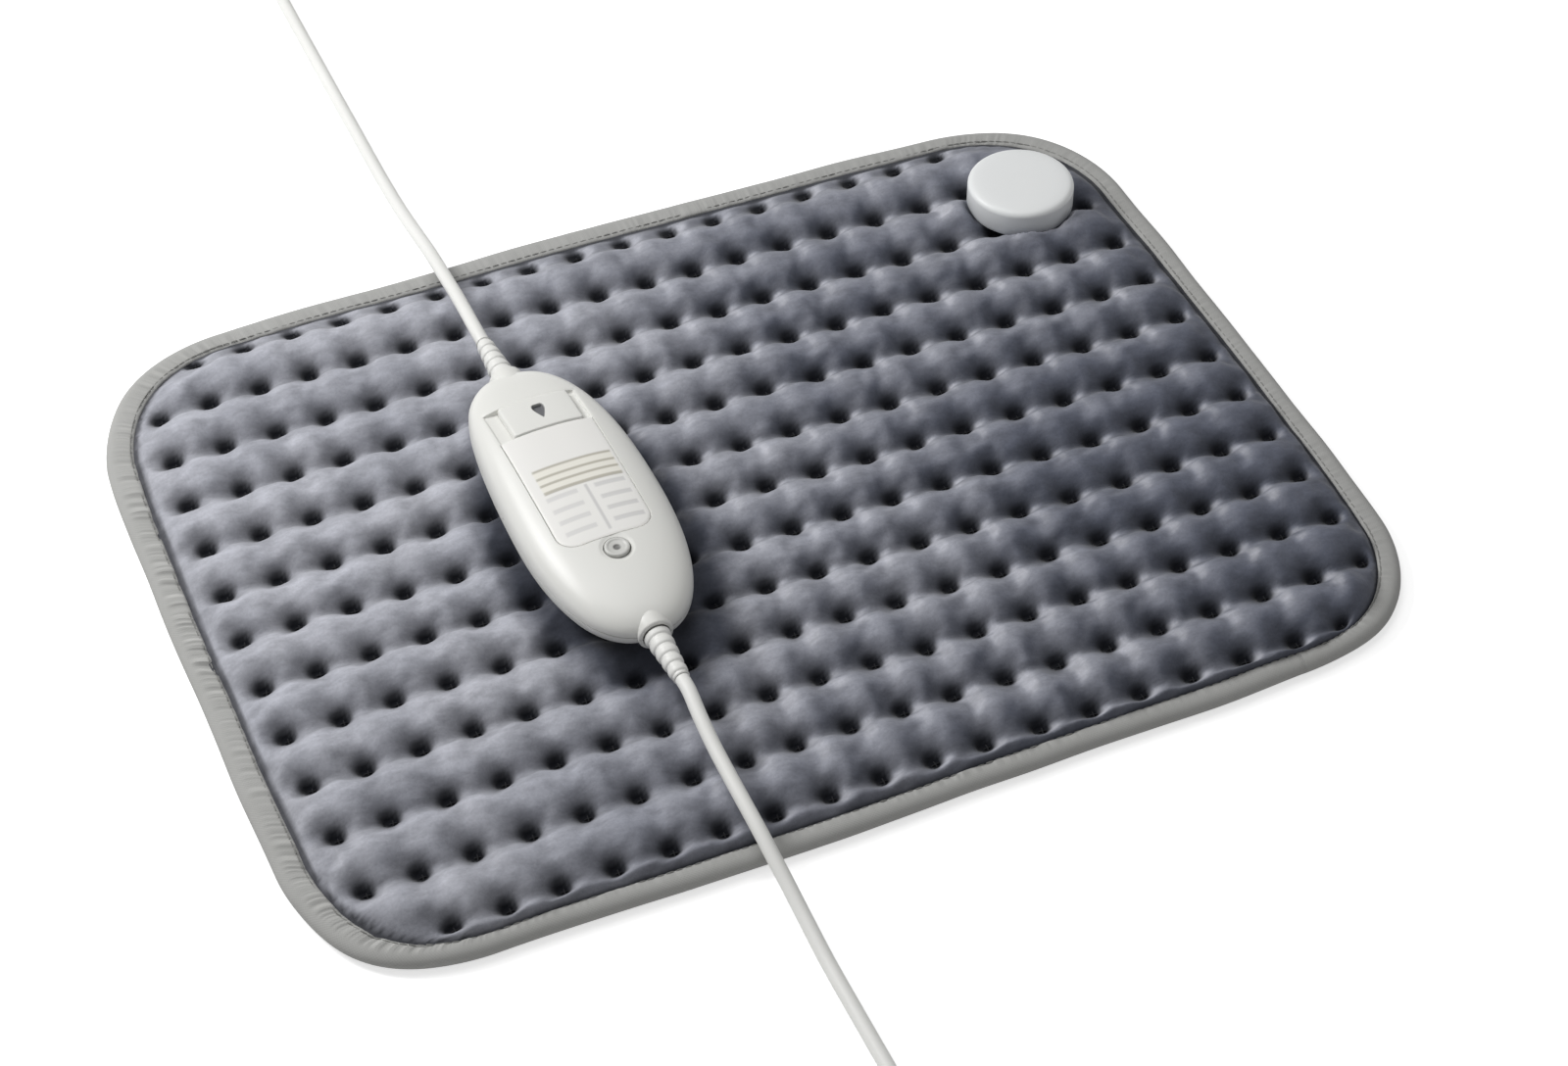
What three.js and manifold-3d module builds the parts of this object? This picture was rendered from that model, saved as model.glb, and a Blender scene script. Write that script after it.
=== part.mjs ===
// Heating pad with a hand switch in its lead
// Millimetres, +Z up. The pad lies on the plane z = 0 with its middle at the origin,
// its long side along X and its far side towards +Y.

import * as THREE from 'three';
import { mergeVertices } from 'three/addons/utils/BufferGeometryUtils.js';
import Module from 'manifold-3d';

// Clearances and counts that every piece shares
const seatGap = 0.3;
const runGap = 0.4;
const overrun = 1;
const cornerSteps = 3;
const roundSides = 24;
const smallSides = 12;
const boreSides = 8;
const softSteps = 2;

// Pad outline and hem
const padLength = 400;
const padDepth = 311;
const padCornerRadius = 58;
const hemWidth = 9.5;
const hemWall = 0.8;
const hemSideWall = 1.6;
const hemRounding = 2.8;

// Pad layers, from the floor up
const backThickness = 2;
const feltThickness = 0.7;
const wireDiameter = 1.2;
const coverRimThickness = 0.7;

// Quilting of the top cover
const columnPitch = 18.8;
const rowPitch = 22.98;
const quiltShiftX = 2.25;
const quiltShiftY = 2.45;
const dimpleFloor = 0.9;
const saddleHeight = 5.2;
const crownHeight = 9.2;
const quiltEdgeHeight = 4.4;
const quiltEdgeRun = 13;
const stitchMargin = 2;

// Heating wire, laid in the channels between the stitch rows
const wireLeftFromSide = 29;
const wireRightFromSide = 24;
const wireColumnFromSide = 19;
const wireSides = 6;
const wireCornerSteps = 2;
const fuseDiameter = 2.6;
const fuseLength = 14;

// Socket housing on the far right corner
const socketFromSide = 43.5;
const socketFromFarSide = 55.6;
const socketRadius = 20;
const socketHeight = 14.4;
const socketSink = 4.2;
const socketWall = 1.8;
const socketRounding = 2.2;
const socketDraft = 0.9;
const capEdgeInShare = 0.3;
const capEdgeDownShare = 0.35;
const socketBaseThickness = 2;
const socketBlockWidth = 16.4;
const socketBlockHeight = 7.4;
const socketBlockRear = 5;
const mouthWidth = 13.6;
const mouthHeight = 5;
const mouthFloorY = 4;
const pinDiameter = 1.6;
const pinPitch = 4;
const pinTip = 11;
const pinTail = 7.4;
const rivetRadius = 1.4;
const rivetHeadRadius = 2.6;
const rivetHeadHeight = 0.9;
const rivetHeadTopShare = 0.7;
const rivetCircleRadius = 14;
const rivetAngles = [10, 170, 230, 310];
const leadHoleY = 9.4;
const leadHoleWidth = 10;
const leadHoleDepth = 2.6;
const backingRadius = 18;

// Controller housing
const controllerX = -58.4;
const controllerY = 0.6;
const controllerTurn = THREE.MathUtils.degToRad(1.5);
const controllerLength = 134;
const controllerWidth = 55.5;
const upperHeight = 12.35;
const lowerHeight = 10.35;
const lowerDomeHeight = 12.6;
const shellWall = 2;
const noseLength = 9;
const outlinePower = 2.4;
const sectionPower = 2.5;
const domeSides = 32;
const domeRingShares = [0, 0.14, 0.3, 0.48, 0.66, 0.84];
const sideNotchY = 2.1;
const sideNotchWidth = 1;
const sideNotchDepth = 2.6;
const sideNotchHeight = 1.8;

// Controller: legend panel let into the top, as wide as the switch band that it meets
const panelToButton = 5.8;
const panelThickness = 0.8;
const panelCornerRadius = 7;

// Controller: slide switch across the far end
const bandFromEnd = 31.4;
const bandDepth = 18;
const bandFloor = 7.45;
const bandTilt = THREE.MathUtils.degToRad(-4.8);
const trayWall = 1.4;
const knobWidth = 25.6;
const knobTravel = 3.5;
const knobSettings = 4;
const knobRestSetting = 3;
const knobProud = 0.6;
const stemWidth = 5;
const stemDepth = 3.4;
const stemBottom = 3.9;
const pointerLength = 8;
const pointerWidth = 4.4;
const pointerCrownShare = 0.6;
const pointerDepth = 1.3;
const switchBodyWidth = 16;
const switchBodyDepth = 7;
const switchBodyHeight = 6.3;
const sliderWidth = 2.4;
const sliderDepth = 1.6;
const sliderTop = 6;
const sliderFootWidth = 5;
const sliderFootDepth = 3;
const sliderFootHeight = 0.8;

// Controller: push button
const buttonFromEnd = 31.6;
const buttonRadius = 4.3;
const buttonTop = 11.7;
const buttonDish = 0.9;
const buttonFlangeRadius = 5.6;
const buttonFlangeTop = 7.9;
const buttonFlangeThickness = 1;
const buttonStemRadius = 1.8;
const buttonStemBottom = 2.7;
const buttonTravel = 0.8;
const keySwitchSize = 6;
const keySwitchHeight = 4.5;
const plungerRadius = 1.7;
const plungerLength = 3.2;

// Controller: circuit board and what it carries
const boardWidth = 28;
const boardFromEnd = 25;
const boardThickness = 1.6;
const boardTop = -3.6;
const postRadius = 2.4;
const postX = 10;
const postFromEnd = 37;
const bossX = 13;
const bossFromEnd = 17;
const bossRadius = 3;
const screwRadius = 1.5;
const screwHeadRadius = 2.7;
const screwHeadHeight = 1.7;
const screwHeadSeat = 6.2;
const screwTop = 6.4;
const boardFuseRadius = 2.6;
const boardFuseLength = 20;
const thyristorSize = [10, 15, 4.4];
const capacitorSize = [6, 13, 10];
const chipSize = [6.4, 10, 3.4];

// Strain reliefs of the controller
const reliefLength = 20.5;
const reliefRootRadius = 4.6;
const reliefTipRadius = 3.4;
const reliefNeckRadius = 3.4;
const reliefFlangeRadius = 4.4;
const reliefFlangeThickness = 1.6;
const reliefGrooveDepth = 0.7;
const reliefRibs = 5;
const ribEndShare = 0.55;
const grooveStartShare = 0.62;
const grooveEndShare = 0.93;
const collarRadius = 6.2;
const collarProud = 0.8;
const coreDiameter = 1.8;
const coreSpread = 11.2;
const coreApart = 1.3;

// Leads and their coils
const cordDiameter = 5;
const cordSides = 8;
const cordStepDiameters = 2.4;
const cordFloorGap = 0.1;
const coilSteps = 24;
const coilSides = 6;
const turnPitch = 5.6;
const layerPitch = 5.5;
const mainsCoilLoops = 9.25;
const mainsCoilLayers = 4;
const mainsCoilMiddleRadius = 26.6;
const mainsCoilX = -83.5;
const mainsCoilY = -293;
const padCoilLoops = 2.25;
const padCoilLayers = 2;
const padCoilMiddleRadius = 27.5;
const padCoilX = -28.3;
const padCoilY = 374;
const tieThickness = 0.6;
const tieWidth = 8;
const tieGap = 0.7;
const tailSinkShares = [0.2, 0.35, 0.5, 0.65, 0.8];

// Mains plug, flat and two-pinned
const plugWidth = 35.3;
const plugHeight = 13.7;
const plugLength = 36;
const plugRearWidth = 12;
const plugRounding = 2.4;
const plugPinLength = 19;
const plugPinRadius = 2;
const plugPinSpacing = 18.6;
const plugPinRoot = 6;
const plugShoulderShare = 0.72;
const plugWaistShare = 0.5;
const plugRearShare = 0.33;
const plugSleeveLength = 10;
const plugSleeveRadius = 1.85;
const mainsTailRun = 48;
const plugReliefLength = 24;

// Pad plug, which fits the socket's mouth
const padPlugWidth = 25;
const padPlugHeight = 10;
const padPlugLength = 22;
const padPlugRearWidth = 11;
const padPlugRounding = 1.8;
const tongueLength = 11.4;
const padTailRun = 38;
const padReliefLength = 20;
const padPlugWaistShare = 0.5;
const padPlugRearShare = 0.33;

// Places along the pad and along the controller, measured from their ends
const quiltInset = hemWidth + seatGap;
const quiltedHalfLength = padLength / 2 - quiltInset - stitchMargin;
const quiltedHalfDepth = padDepth / 2 - quiltInset - stitchMargin;
const stitchColumns = 2 * Math.round(quiltedHalfLength / columnPitch);
const stitchRows = 2 * Math.floor(quiltedHalfDepth / rowPitch) + 1;
const wireLeftReach = padLength / 2 - wireLeftFromSide;
const wireRightReach = padLength / 2 - wireRightFromSide;
const wireColumnX = padLength / 2 - wireColumnFromSide;
const socketX = padLength / 2 - socketFromSide;
const socketY = padDepth / 2 - socketFromFarSide;
const bandY = controllerLength / 2 - bandFromEnd;
const buttonY = buttonFromEnd - controllerLength / 2;
const boardLength = controllerLength - 2 * boardFromEnd;
const postY = controllerLength / 2 - postFromEnd;
const bossY = controllerLength / 2 - bossFromEnd;

// Heights worked out from the layers
const feltBottom = backThickness + seatGap;
const feltTop = feltBottom + feltThickness;
const wireMiddle = feltTop + seatGap + wireDiameter / 2;
const coverBottom = feltTop + seatGap + wireDiameter + seatGap;
const hemThickness = coverBottom + coverRimThickness + seatGap + hemWall;
const crownTop = coverBottom + crownHeight;
const socketSeat = crownTop - socketSink;
const partingHalf = seatGap / 2;
const lowerBottom = -(partingHalf + lowerHeight);
const controllerZ = crownTop + seatGap - lowerBottom;
const bandWidth = knobWidth + 2 * (knobTravel + runGap);
const knobX = knobTravel * ((knobRestSetting - 1) / (knobSettings - 1) * 2 - 1);
const panelFarY = bandY - bandDepth / 2 + seatGap;
const panelNearY = buttonY + panelToButton;
const reliefRoot = controllerLength / 2 + collarProud + seatGap;
const reliefTip = reliefRoot + reliefLength;
const floorMiddle = cordFloorGap + cordDiameter / 2;
const coilFloorMiddle = cordFloorGap + tieThickness + seatGap + cordDiameter / 2;

// Finishes
const finishes = {
  plush: { color: 0x6e7280, roughness: 0.95, metalness: 0 },
  backing: { color: 0x8d909a, roughness: 0.9, metalness: 0 },
  felt: { color: 0xd8d4ca, roughness: 0.95, metalness: 0 },
  tape: { color: 0xb4b4b2, roughness: 0.85, metalness: 0 },
  wireCoat: { color: 0xc8443c, roughness: 0.5, metalness: 0 },
  housing: { color: 0xedede8, roughness: 0.45, metalness: 0 },
  socketWhite: { color: 0xdddfdf, roughness: 0.45, metalness: 0 },
  button: { color: 0xc9c9c6, roughness: 0.5, metalness: 0 },
  panel: { color: 0xe6e4e0, roughness: 0.6, metalness: 0 },
  cord: { color: 0xe9e8e4, roughness: 0.55, metalness: 0 },
  board: { color: 0x2f6b3f, roughness: 0.6, metalness: 0 },
  component: { color: 0x2a2b2d, roughness: 0.5, metalness: 0 },
  brass: { color: 0xb08d57, roughness: 0.35, metalness: 1 },
  steel: { color: 0xb9bcc0, roughness: 0.35, metalness: 1 },
};

const wasm = await Module();
wasm.setup();

// Joins equal corners and drops triangles that have no area
function weld(geometry) {
  const bare = geometry.clone();
  bare.deleteAttribute('normal');
  bare.deleteAttribute('uv');
  const merged = mergeVertices(bare);
  const index = merged.index.array;
  const kept = [];
  for (let corner = 0; corner < index.length; corner += 3) {
    const [a, b, c] = index.slice(corner, corner + 3);
    if (a !== b && b !== c && c !== a) {
      kept.push(a, b, c);
    }
  }
  merged.setIndex(kept);
  return merged;
}

function solidOf(geometry) {
  const closed = weld(geometry);
  return new wasm.Manifold(new wasm.Mesh({
    numProp: 3,
    vertProperties: Float32Array.from(closed.attributes.position.array),
    triVerts: Uint32Array.from(closed.index.array),
  }));
}

function geometryOf(solid) {
  const mesh = solid.getMesh();
  const geometry = new THREE.BufferGeometry();
  const positions = Float32Array.from(mesh.vertProperties);
  geometry.setAttribute('position', new THREE.BufferAttribute(positions, 3));
  geometry.setIndex(Array.from(mesh.triVerts));
  return geometry;
}

function join(first, ...others) {
  return geometryOf(others.reduce((sum, next) => sum.add(solidOf(next)), solidOf(first)));
}

function cut(body, ...tools) {
  return geometryOf(tools.reduce((rest, tool) => rest.subtract(solidOf(tool)), solidOf(body)));
}

function common(first, second) {
  return geometryOf(solidOf(first).intersect(solidOf(second)));
}

// A flat-sided piece of the given outline between two heights
function plate(outline, bottom, top) {
  const geometry = new THREE.ExtrudeGeometry(outline, {
    depth: top - bottom,
    bevelEnabled: false,
    curveSegments: cornerSteps,
  });
  return geometry.translate(0, 0, bottom);
}

// The same with rounded edges; the outline is the piece's widest one
function softPlate(outlineAt, rounding, bottom, top, steps) {
  const geometry = new THREE.ExtrudeGeometry(outlineAt(rounding), {
    depth: top - bottom - 2 * rounding,
    bevelEnabled: true,
    bevelThickness: rounding,
    bevelSize: rounding,
    bevelSegments: steps,
    curveSegments: cornerSteps,
  });
  return geometry.translate(0, 0, bottom + rounding);
}

function box(x, y, z, middle = [0, 0, 0]) {
  return new THREE.BoxGeometry(x, y, z).translate(...middle);
}

// A turned piece about Z; the profile runs from the axis at its foot to the axis at its head
function turned(profile, sides) {
  const points = profile.map(([radius, height]) => new THREE.Vector2(radius, height));
  return new THREE.LatheGeometry(points, sides).rotateX(Math.PI / 2);
}

function rod(radius, bottom, top, sides = smallSides) {
  return turned([[0, bottom], [radius, bottom], [radius, top], [0, top]], sides);
}

function roundedRectangle(length, depth, radius) {
  const x = length / 2;
  const y = depth / 2;
  const shape = new THREE.Shape();
  shape.moveTo(-x + radius, -y);
  shape.absarc(x - radius, -y + radius, radius, -Math.PI / 2, 0, false);
  shape.absarc(x - radius, y - radius, radius, 0, Math.PI / 2, false);
  shape.absarc(-x + radius, y - radius, radius, Math.PI / 2, Math.PI, false);
  shape.absarc(-x + radius, -y + radius, radius, Math.PI, Math.PI * 3 / 2, false);
  return shape;
}

// The pad's outline seen from above, drawn in by an inset
function padOutline(inset) {
  return roundedRectangle(padLength - 2 * inset, padDepth - 2 * inset, padCornerRadius - inset);
}

// A route with one step of a tube at each of its points
class PointRoute extends THREE.Curve {
  constructor(points) {
    super();
    this.points = points;
  }

  indexAt(share) {
    return Math.round(share * (this.points.length - 1));
  }

  getPoint(share, target = new THREE.Vector3()) {
    return target.copy(this.points[this.indexAt(share)]);
  }

  getPointAt(share, target) {
    return this.getPoint(share, target);
  }

  getTangentAt(share, target = new THREE.Vector3()) {
    const index = this.indexAt(share);
    const before = this.points[Math.max(index - 1, 0)];
    const after = this.points[Math.min(index + 1, this.points.length - 1)];
    return target.subVectors(after, before).normalize();
  }
}

// A round section whose flats lie level at the bottom and the top
function roundSection(diameter, sides) {
  const corners = [];
  for (let side = 0; side < sides; side += 1) {
    const turn = (side + 0.5) / sides * Math.PI * 2;
    corners.push(new THREE.Vector2(Math.cos(turn), Math.sin(turn)).multiplyScalar(diameter / 2));
  }
  return new THREE.Shape(corners);
}

function pointTube(points, diameter, sides) {
  return new THREE.ExtrudeGeometry(roundSection(diameter, sides), {
    steps: points.length - 1,
    extrudePath: new PointRoute(points),
  });
}

function leadTube(points) {
  const route = new THREE.CatmullRomCurve3(points, false, 'centripetal');
  return new THREE.ExtrudeGeometry(roundSection(cordDiameter, cordSides), {
    steps: Math.round(route.getLength() / (cordDiameter * cordStepDiameters)),
    extrudePath: route,
  });
}

// A route of straight runs whose corners are rounded
function roundedRoute(corners, radius, steps) {
  const points = [corners[0]];
  for (let place = 1; place < corners.length - 1; place += 1) {
    const corner = corners[place];
    const back = new THREE.Vector3().subVectors(corners[place - 1], corner);
    const ahead = new THREE.Vector3().subVectors(corners[place + 1], corner);
    const reach = Math.min(radius, back.length() / 2, ahead.length() / 2);
    const from = corner.clone().add(back.setLength(reach));
    const to = corner.clone().add(ahead.setLength(reach));
    points.push(...new THREE.QuadraticBezierCurve3(from, corner, to).getPoints(steps));
  }
  points.push(corners[corners.length - 1]);
  return points.filter((point, place) => place === 0 || point.distanceTo(points[place - 1]) > 0);
}

const model = new THREE.Group();

function addPart(parent, name, geometry, finish) {
  const mesh = new THREE.Mesh(weld(geometry), new THREE.MeshStandardMaterial(finishes[finish]));
  mesh.name = name;
  parent.add(mesh);
  return mesh;
}

function addGroup(parent, x, y, z, turn) {
  const group = new THREE.Group();
  group.position.set(x, y, z);
  group.rotation.z = turn;
  parent.add(group);
  return group;
}

// Edge binding: a rounded tape folded round the rims of all the layers
function edgeBinding() {
  const tape = softPlate((inset) => padOutline(inset), hemRounding, 0, hemThickness, softSteps);
  const middle = plate(padOutline(hemWidth), -overrun, hemThickness + overrun);
  const fold = plate(padOutline(hemSideWall), hemWall, hemThickness - hemWall);
  return cut(tape, middle, fold);
}

// Back cover: lies on the floor and rises into the fold of the binding
function backCover() {
  const middle = plate(padOutline(hemWidth + seatGap), 0, backThickness);
  const rim = plate(padOutline(hemSideWall + seatGap), hemWall + seatGap, backThickness);
  return join(middle, rim);
}

function firstColumnX() {
  return quiltShiftX - (stitchColumns - 1) / 2 * columnPitch;
}

function firstRowY() {
  return quiltShiftY - (stitchRows - 1) / 2 * rowPitch;
}

// How far a place lies inside the quilt's outline, less than zero outside it
function inwardOf(x, y) {
  const radius = padCornerRadius - quiltInset;
  const pastX = Math.abs(x) - (padLength / 2 - quiltInset - radius);
  const pastY = Math.abs(y) - (padDepth / 2 - quiltInset - radius);
  const outside = Math.hypot(Math.max(pastX, 0), Math.max(pastY, 0));
  return radius - outside - Math.min(Math.max(pastX, pastY), 0);
}

// The quilt's surface: sewn dimples, saddles between them and puffed channels
function quiltPoint(x, y, height, isDimple) {
  const inward = inwardOf(x, y);
  const rise = THREE.MathUtils.smoothstep(inward, 0, quiltEdgeRun);
  const puffed = quiltEdgeHeight + (height - quiltEdgeHeight) * rise;
  const sewn = isDimple && inward >= stitchMargin;
  return new THREE.Vector3(x, y, coverBottom + (sewn ? dimpleFloor : puffed));
}

// Rows of surface points: a puffed row has one for each channel cell, a sewn row two
function quiltRows() {
  const rows = [];
  const cells = stitchColumns + 1;
  const startX = firstColumnX() - columnPitch;
  for (let line = 0; line <= 2 * stitchRows; line += 1) {
    const y = firstRowY() + (line - 1) / 2 * rowPitch;
    const row = [];
    if (line % 2 === 0) {
      row.push(quiltPoint(startX, y, crownHeight, false));
      for (let cell = 0; cell < cells; cell += 1) {
        row.push(quiltPoint(startX + (cell + 0.5) * columnPitch, y, crownHeight, false));
      }
      row.push(quiltPoint(startX + cells * columnPitch, y, crownHeight, false));
    } else {
      for (let half = 0; half <= 2 * cells; half += 1) {
        const isColumn = half % 2 === 0;
        const x = startX + half / 2 * columnPitch;
        row.push(quiltPoint(x, y, saddleHeight, isColumn));
      }
    }
    rows.push(row);
  }
  return rows;
}

// A closed block under the quilted surface, wider than the quilt
function quiltBlock() {
  const rows = quiltRows();
  const points = rows.flat();
  const starts = [];
  rows.reduce((sum, row) => {
    starts.push(sum);
    return sum + row.length;
  }, 0);
  const faces = [];
  const addFace = (a, b, c, turnedOver) => faces.push(...(turnedOver ? [a, c, b] : [a, b, c]));

  const joinRows = (sewn, puffed, turnedOver) => {
    const cells = stitchColumns + 1;
    addFace(puffed, puffed + 1, sewn, turnedOver);
    for (let cell = 0; cell < cells; cell += 1) {
      const crown = puffed + 1 + cell;
      const column = sewn + 2 * cell;
      addFace(crown, column + 1, column, turnedOver);
      addFace(crown, column + 2, column + 1, turnedOver);
      addFace(crown, crown + 1, column + 2, turnedOver);
    }
  };
  for (let line = 1; line < rows.length; line += 2) {
    joinRows(starts[line], starts[line - 1], false);
    joinRows(starts[line], starts[line + 1], true);
  }

  const rim = rows[0].map((point, place) => place);
  for (let line = 1; line < rows.length - 1; line += 1) {
    rim.push(starts[line] + rows[line].length - 1);
  }
  rim.push(...rows.at(-1).map((point, place) => points.length - 1 - place));
  for (let line = rows.length - 2; line > 0; line -= 1) {
    rim.push(starts[line]);
  }
  const footStart = points.length;
  for (const place of rim) {
    points.push(new THREE.Vector3(points[place].x, points[place].y, coverBottom));
  }
  const hub = points.length;
  points.push(new THREE.Vector3(0, 0, coverBottom));
  for (let place = 0; place < rim.length; place += 1) {
    const next = (place + 1) % rim.length;
    faces.push(rim[place], footStart + place, footStart + next);
    faces.push(rim[place], footStart + next, rim[next]);
    faces.push(hub, footStart + next, footStart + place);
  }
  return new THREE.BufferGeometry().setFromPoints(points).setIndex(faces);
}

// Places of the rivets round the socket's middle
function rivetPlaces() {
  return rivetAngles.map((angle) => {
    const turn = THREE.MathUtils.degToRad(angle);
    return [rivetCircleRadius * Math.cos(turn), rivetCircleRadius * Math.sin(turn)];
  });
}

// Holes for the rivets and the leads, through whatever lies under the socket
function socketHoles(bottom, top) {
  const holes = rivetPlaces().map(([x, y]) => (
    rod(rivetRadius + seatGap, bottom, top, boreSides).translate(x, y, 0)
  ));
  const leads = box(leadHoleWidth, leadHoleDepth, top - bottom, [0, -leadHoleY, (top + bottom) / 2]);
  return [...holes, leads];
}

function fusePlace() {
  return [quiltShiftX, firstRowY() + (stitchRows / 2 - 0.5) * rowPitch + rowPitch / 4];
}

// Quilted top cover: puffed channels, sewn dimples and a thin rim inside the binding
function quiltedTopCover() {
  const tall = coverBottom + crownHeight + overrun;
  const quilt = common(quiltBlock(), plate(padOutline(quiltInset), coverBottom - overrun, tall));
  const rim = plate(padOutline(hemSideWall + seatGap), coverBottom, coverBottom + coverRimThickness);
  const press = rod(socketRadius + runGap, socketSeat, tall, roundSides);
  const holes = socketHoles(coverBottom - overrun, tall);
  const openings = [press, ...holes].map((tool) => tool.translate(socketX, socketY, 0));
  const pocketHeight = 2 * (fuseDiameter + seatGap);
  const pocket = box(fuseLength + 2 * seatGap, fuseDiameter + 2 * seatGap, pocketHeight);
  pocket.translate(...fusePlace(), feltTop + seatGap);
  return cut(join(quilt, rim), ...openings, pocket);
}

// Heating wire: one unbroken run, out to the left and back in every channel
function heatingWire() {
  const flat = (x, y) => new THREE.Vector3(x, y, wireMiddle);
  const startY = socketY - backingRadius - seatGap;
  const turnY = startY - rowPitch / 2;
  const besideSocket = socketX - backingRadius - columnPitch / 4;
  const corners = [flat(socketX - pinPitch, startY), flat(socketX - pinPitch, turnY)];
  const runs = stitchRows - 1;
  const runY = (run) => firstRowY() + (runs - run - 0.5) * rowPitch;
  corners.push(flat(besideSocket, turnY), flat(besideSocket, runY(0)));
  for (let run = 0; run < runs; run += 2) {
    const blocked = runY(run + 1) > socketY - backingRadius - wireDiameter;
    const right = blocked ? besideSocket - columnPitch / 4 : wireRightReach;
    corners.push(flat(-wireLeftReach, runY(run)), flat(-wireLeftReach, runY(run + 1)));
    if (run + 2 < runs) {
      corners.push(flat(right, runY(run + 1)), flat(right, runY(run + 2)));
    }
  }
  corners.push(flat(wireColumnX, runY(runs - 1)), flat(wireColumnX, turnY));
  corners.push(flat(socketX + pinPitch, turnY), flat(socketX + pinPitch, startY));
  return pointTube(roundedRoute(corners, rowPitch / 2, wireCornerSteps), wireDiameter, wireSides);
}

addPart(model, 'edge_binding', edgeBinding(), 'tape');
addPart(model, 'back_cover', backCover(), 'backing');

const feltSheet = plate(padOutline(hemSideWall + seatGap), feltBottom, feltTop);
addPart(model, 'wire_carrier_felt', feltSheet, 'felt');
addPart(model, 'heating_wire', heatingWire(), 'wireCoat');
addPart(model, 'quilted_top_cover', quiltedTopCover(), 'plush');

const fuseBody = rod(fuseDiameter / 2, -fuseLength / 2, fuseLength / 2).rotateY(Math.PI / 2);
fuseBody.translate(...fusePlace(), feltTop + seatGap + fuseDiameter / 2);
addPart(model, 'thermal_fuse', fuseBody, 'component');

// Socket housing; its own frame stands on the seat pressed into the quilt
const socket = addGroup(model, socketX, socketY, socketSeat + seatGap, 0);
const socketTop = socketHeight;
const baseTop = socketBaseThickness;
const blockBottom = baseTop + seatGap;
const pinHeight = blockBottom + socketBlockHeight / 2;
const capInside = socketRadius - socketWall;

// Front face of the contact block, where its corners still clear the round cap
function blockFrontY() {
  return Math.sqrt((capInside - seatGap) ** 2 - (socketBlockWidth / 2) ** 2) - seatGap;
}

function socketCap() {
  const foot = socketRadius - socketDraft;
  const edge = socketTop - socketRounding;
  const outside = turned([
    [0, 0], [foot, 0], [socketRadius, socketDraft * 2], [socketRadius, edge],
    [socketRadius - socketRounding * capEdgeInShare, socketTop - socketRounding * capEdgeDownShare],
    [socketRadius - socketRounding, socketTop - socketDraft / 2], [0, socketTop],
  ], roundSides);
  const inside = turned([
    [0, -overrun], [foot - socketWall, -overrun], [foot - socketWall, 0],
    [capInside, socketDraft * 2], [capInside, edge - socketWall], [0, edge - socketWall + socketDraft],
  ], roundSides);
  const reach = socketRadius - mouthFloorY;
  const mouth = box(mouthWidth, reach, mouthHeight, [0, mouthFloorY + reach / 2 + overrun, pinHeight]);
  return cut(outside, inside, mouth);
}

function socketBase() {
  const foot = socketRadius - socketDraft - socketWall - seatGap;
  const disc = rod(foot, 0, baseTop, roundSides);
  return cut(disc, ...socketHoles(-overrun, baseTop + overrun));
}

// Contact block: a shroud open to the mouth, with the pins through its back
function socketContactBlock() {
  const front = blockFrontY();
  const depth = front + socketBlockRear;
  const middleY = (front - socketBlockRear) / 2;
  const body = box(socketBlockWidth, depth, socketBlockHeight, [0, middleY, pinHeight]);
  const pocketDepth = front - mouthFloorY + overrun;
  const pocketMiddle = mouthFloorY + pocketDepth / 2;
  const pocket = box(mouthWidth, pocketDepth, mouthHeight, [0, pocketMiddle, pinHeight]);
  const bores = pinPlaces().map((x) => {
    const bore = rod(pinDiameter / 2 + seatGap, -socketRadius, socketRadius, boreSides);
    return bore.rotateX(Math.PI / 2).translate(x, 0, pinHeight);
  });
  return cut(body, pocket, ...bores);
}

function pinPlaces() {
  return [-pinPitch, 0, pinPitch];
}

addPart(socket, 'socket_cap', socketCap(), 'socketWhite');
addPart(socket, 'socket_base', socketBase(), 'socketWhite');
addPart(socket, 'socket_contact_block', socketContactBlock(), 'component');

pinPlaces().forEach((x, place) => {
  const pin = rod(pinDiameter / 2, -pinTip, pinTail, boreSides).rotateX(Math.PI / 2);
  addPart(socket, `socket_pin_${place + 1}`, pin.translate(x, 0, pinHeight), 'brass');
});

// Heights of the layers seen from the socket's frame
const socketFrameZ = socketSeat + seatGap;
const backingBottom = feltTop + seatGap - socketFrameZ;
const backingTop = coverBottom - seatGap - socketFrameZ;

rivetPlaces().forEach(([x, y], place) => {
  const seat = baseTop + seatGap;
  const rivet = turned([
    [0, backingBottom], [rivetRadius, backingBottom], [rivetRadius, seat], [rivetHeadRadius, seat],
    [rivetHeadRadius * rivetHeadTopShare, seat + rivetHeadHeight], [0, seat + rivetHeadHeight],
  ], boreSides);
  addPart(socket, `socket_rivet_${place + 1}`, rivet.translate(x, y, 0), 'steel');
});

// Backing plate: lies on the felt, slotted where the leads leave
function backingPlate() {
  const disc = rod(backingRadius - seatGap, backingBottom, backingTop, roundSides);
  const slotDepth = backingRadius - leadHoleY + leadHoleDepth;
  const slotMiddle = -leadHoleY + leadHoleDepth / 2 - slotDepth / 2;
  const slot = box(leadHoleWidth, slotDepth, backingRadius, [0, slotMiddle, backingBottom]);
  return cut(disc, ...socketHoles(backingBottom - overrun, backingTop + overrun), slot);
}

addPart(socket, 'socket_backing_plate', backingPlate(), 'steel');

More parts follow.
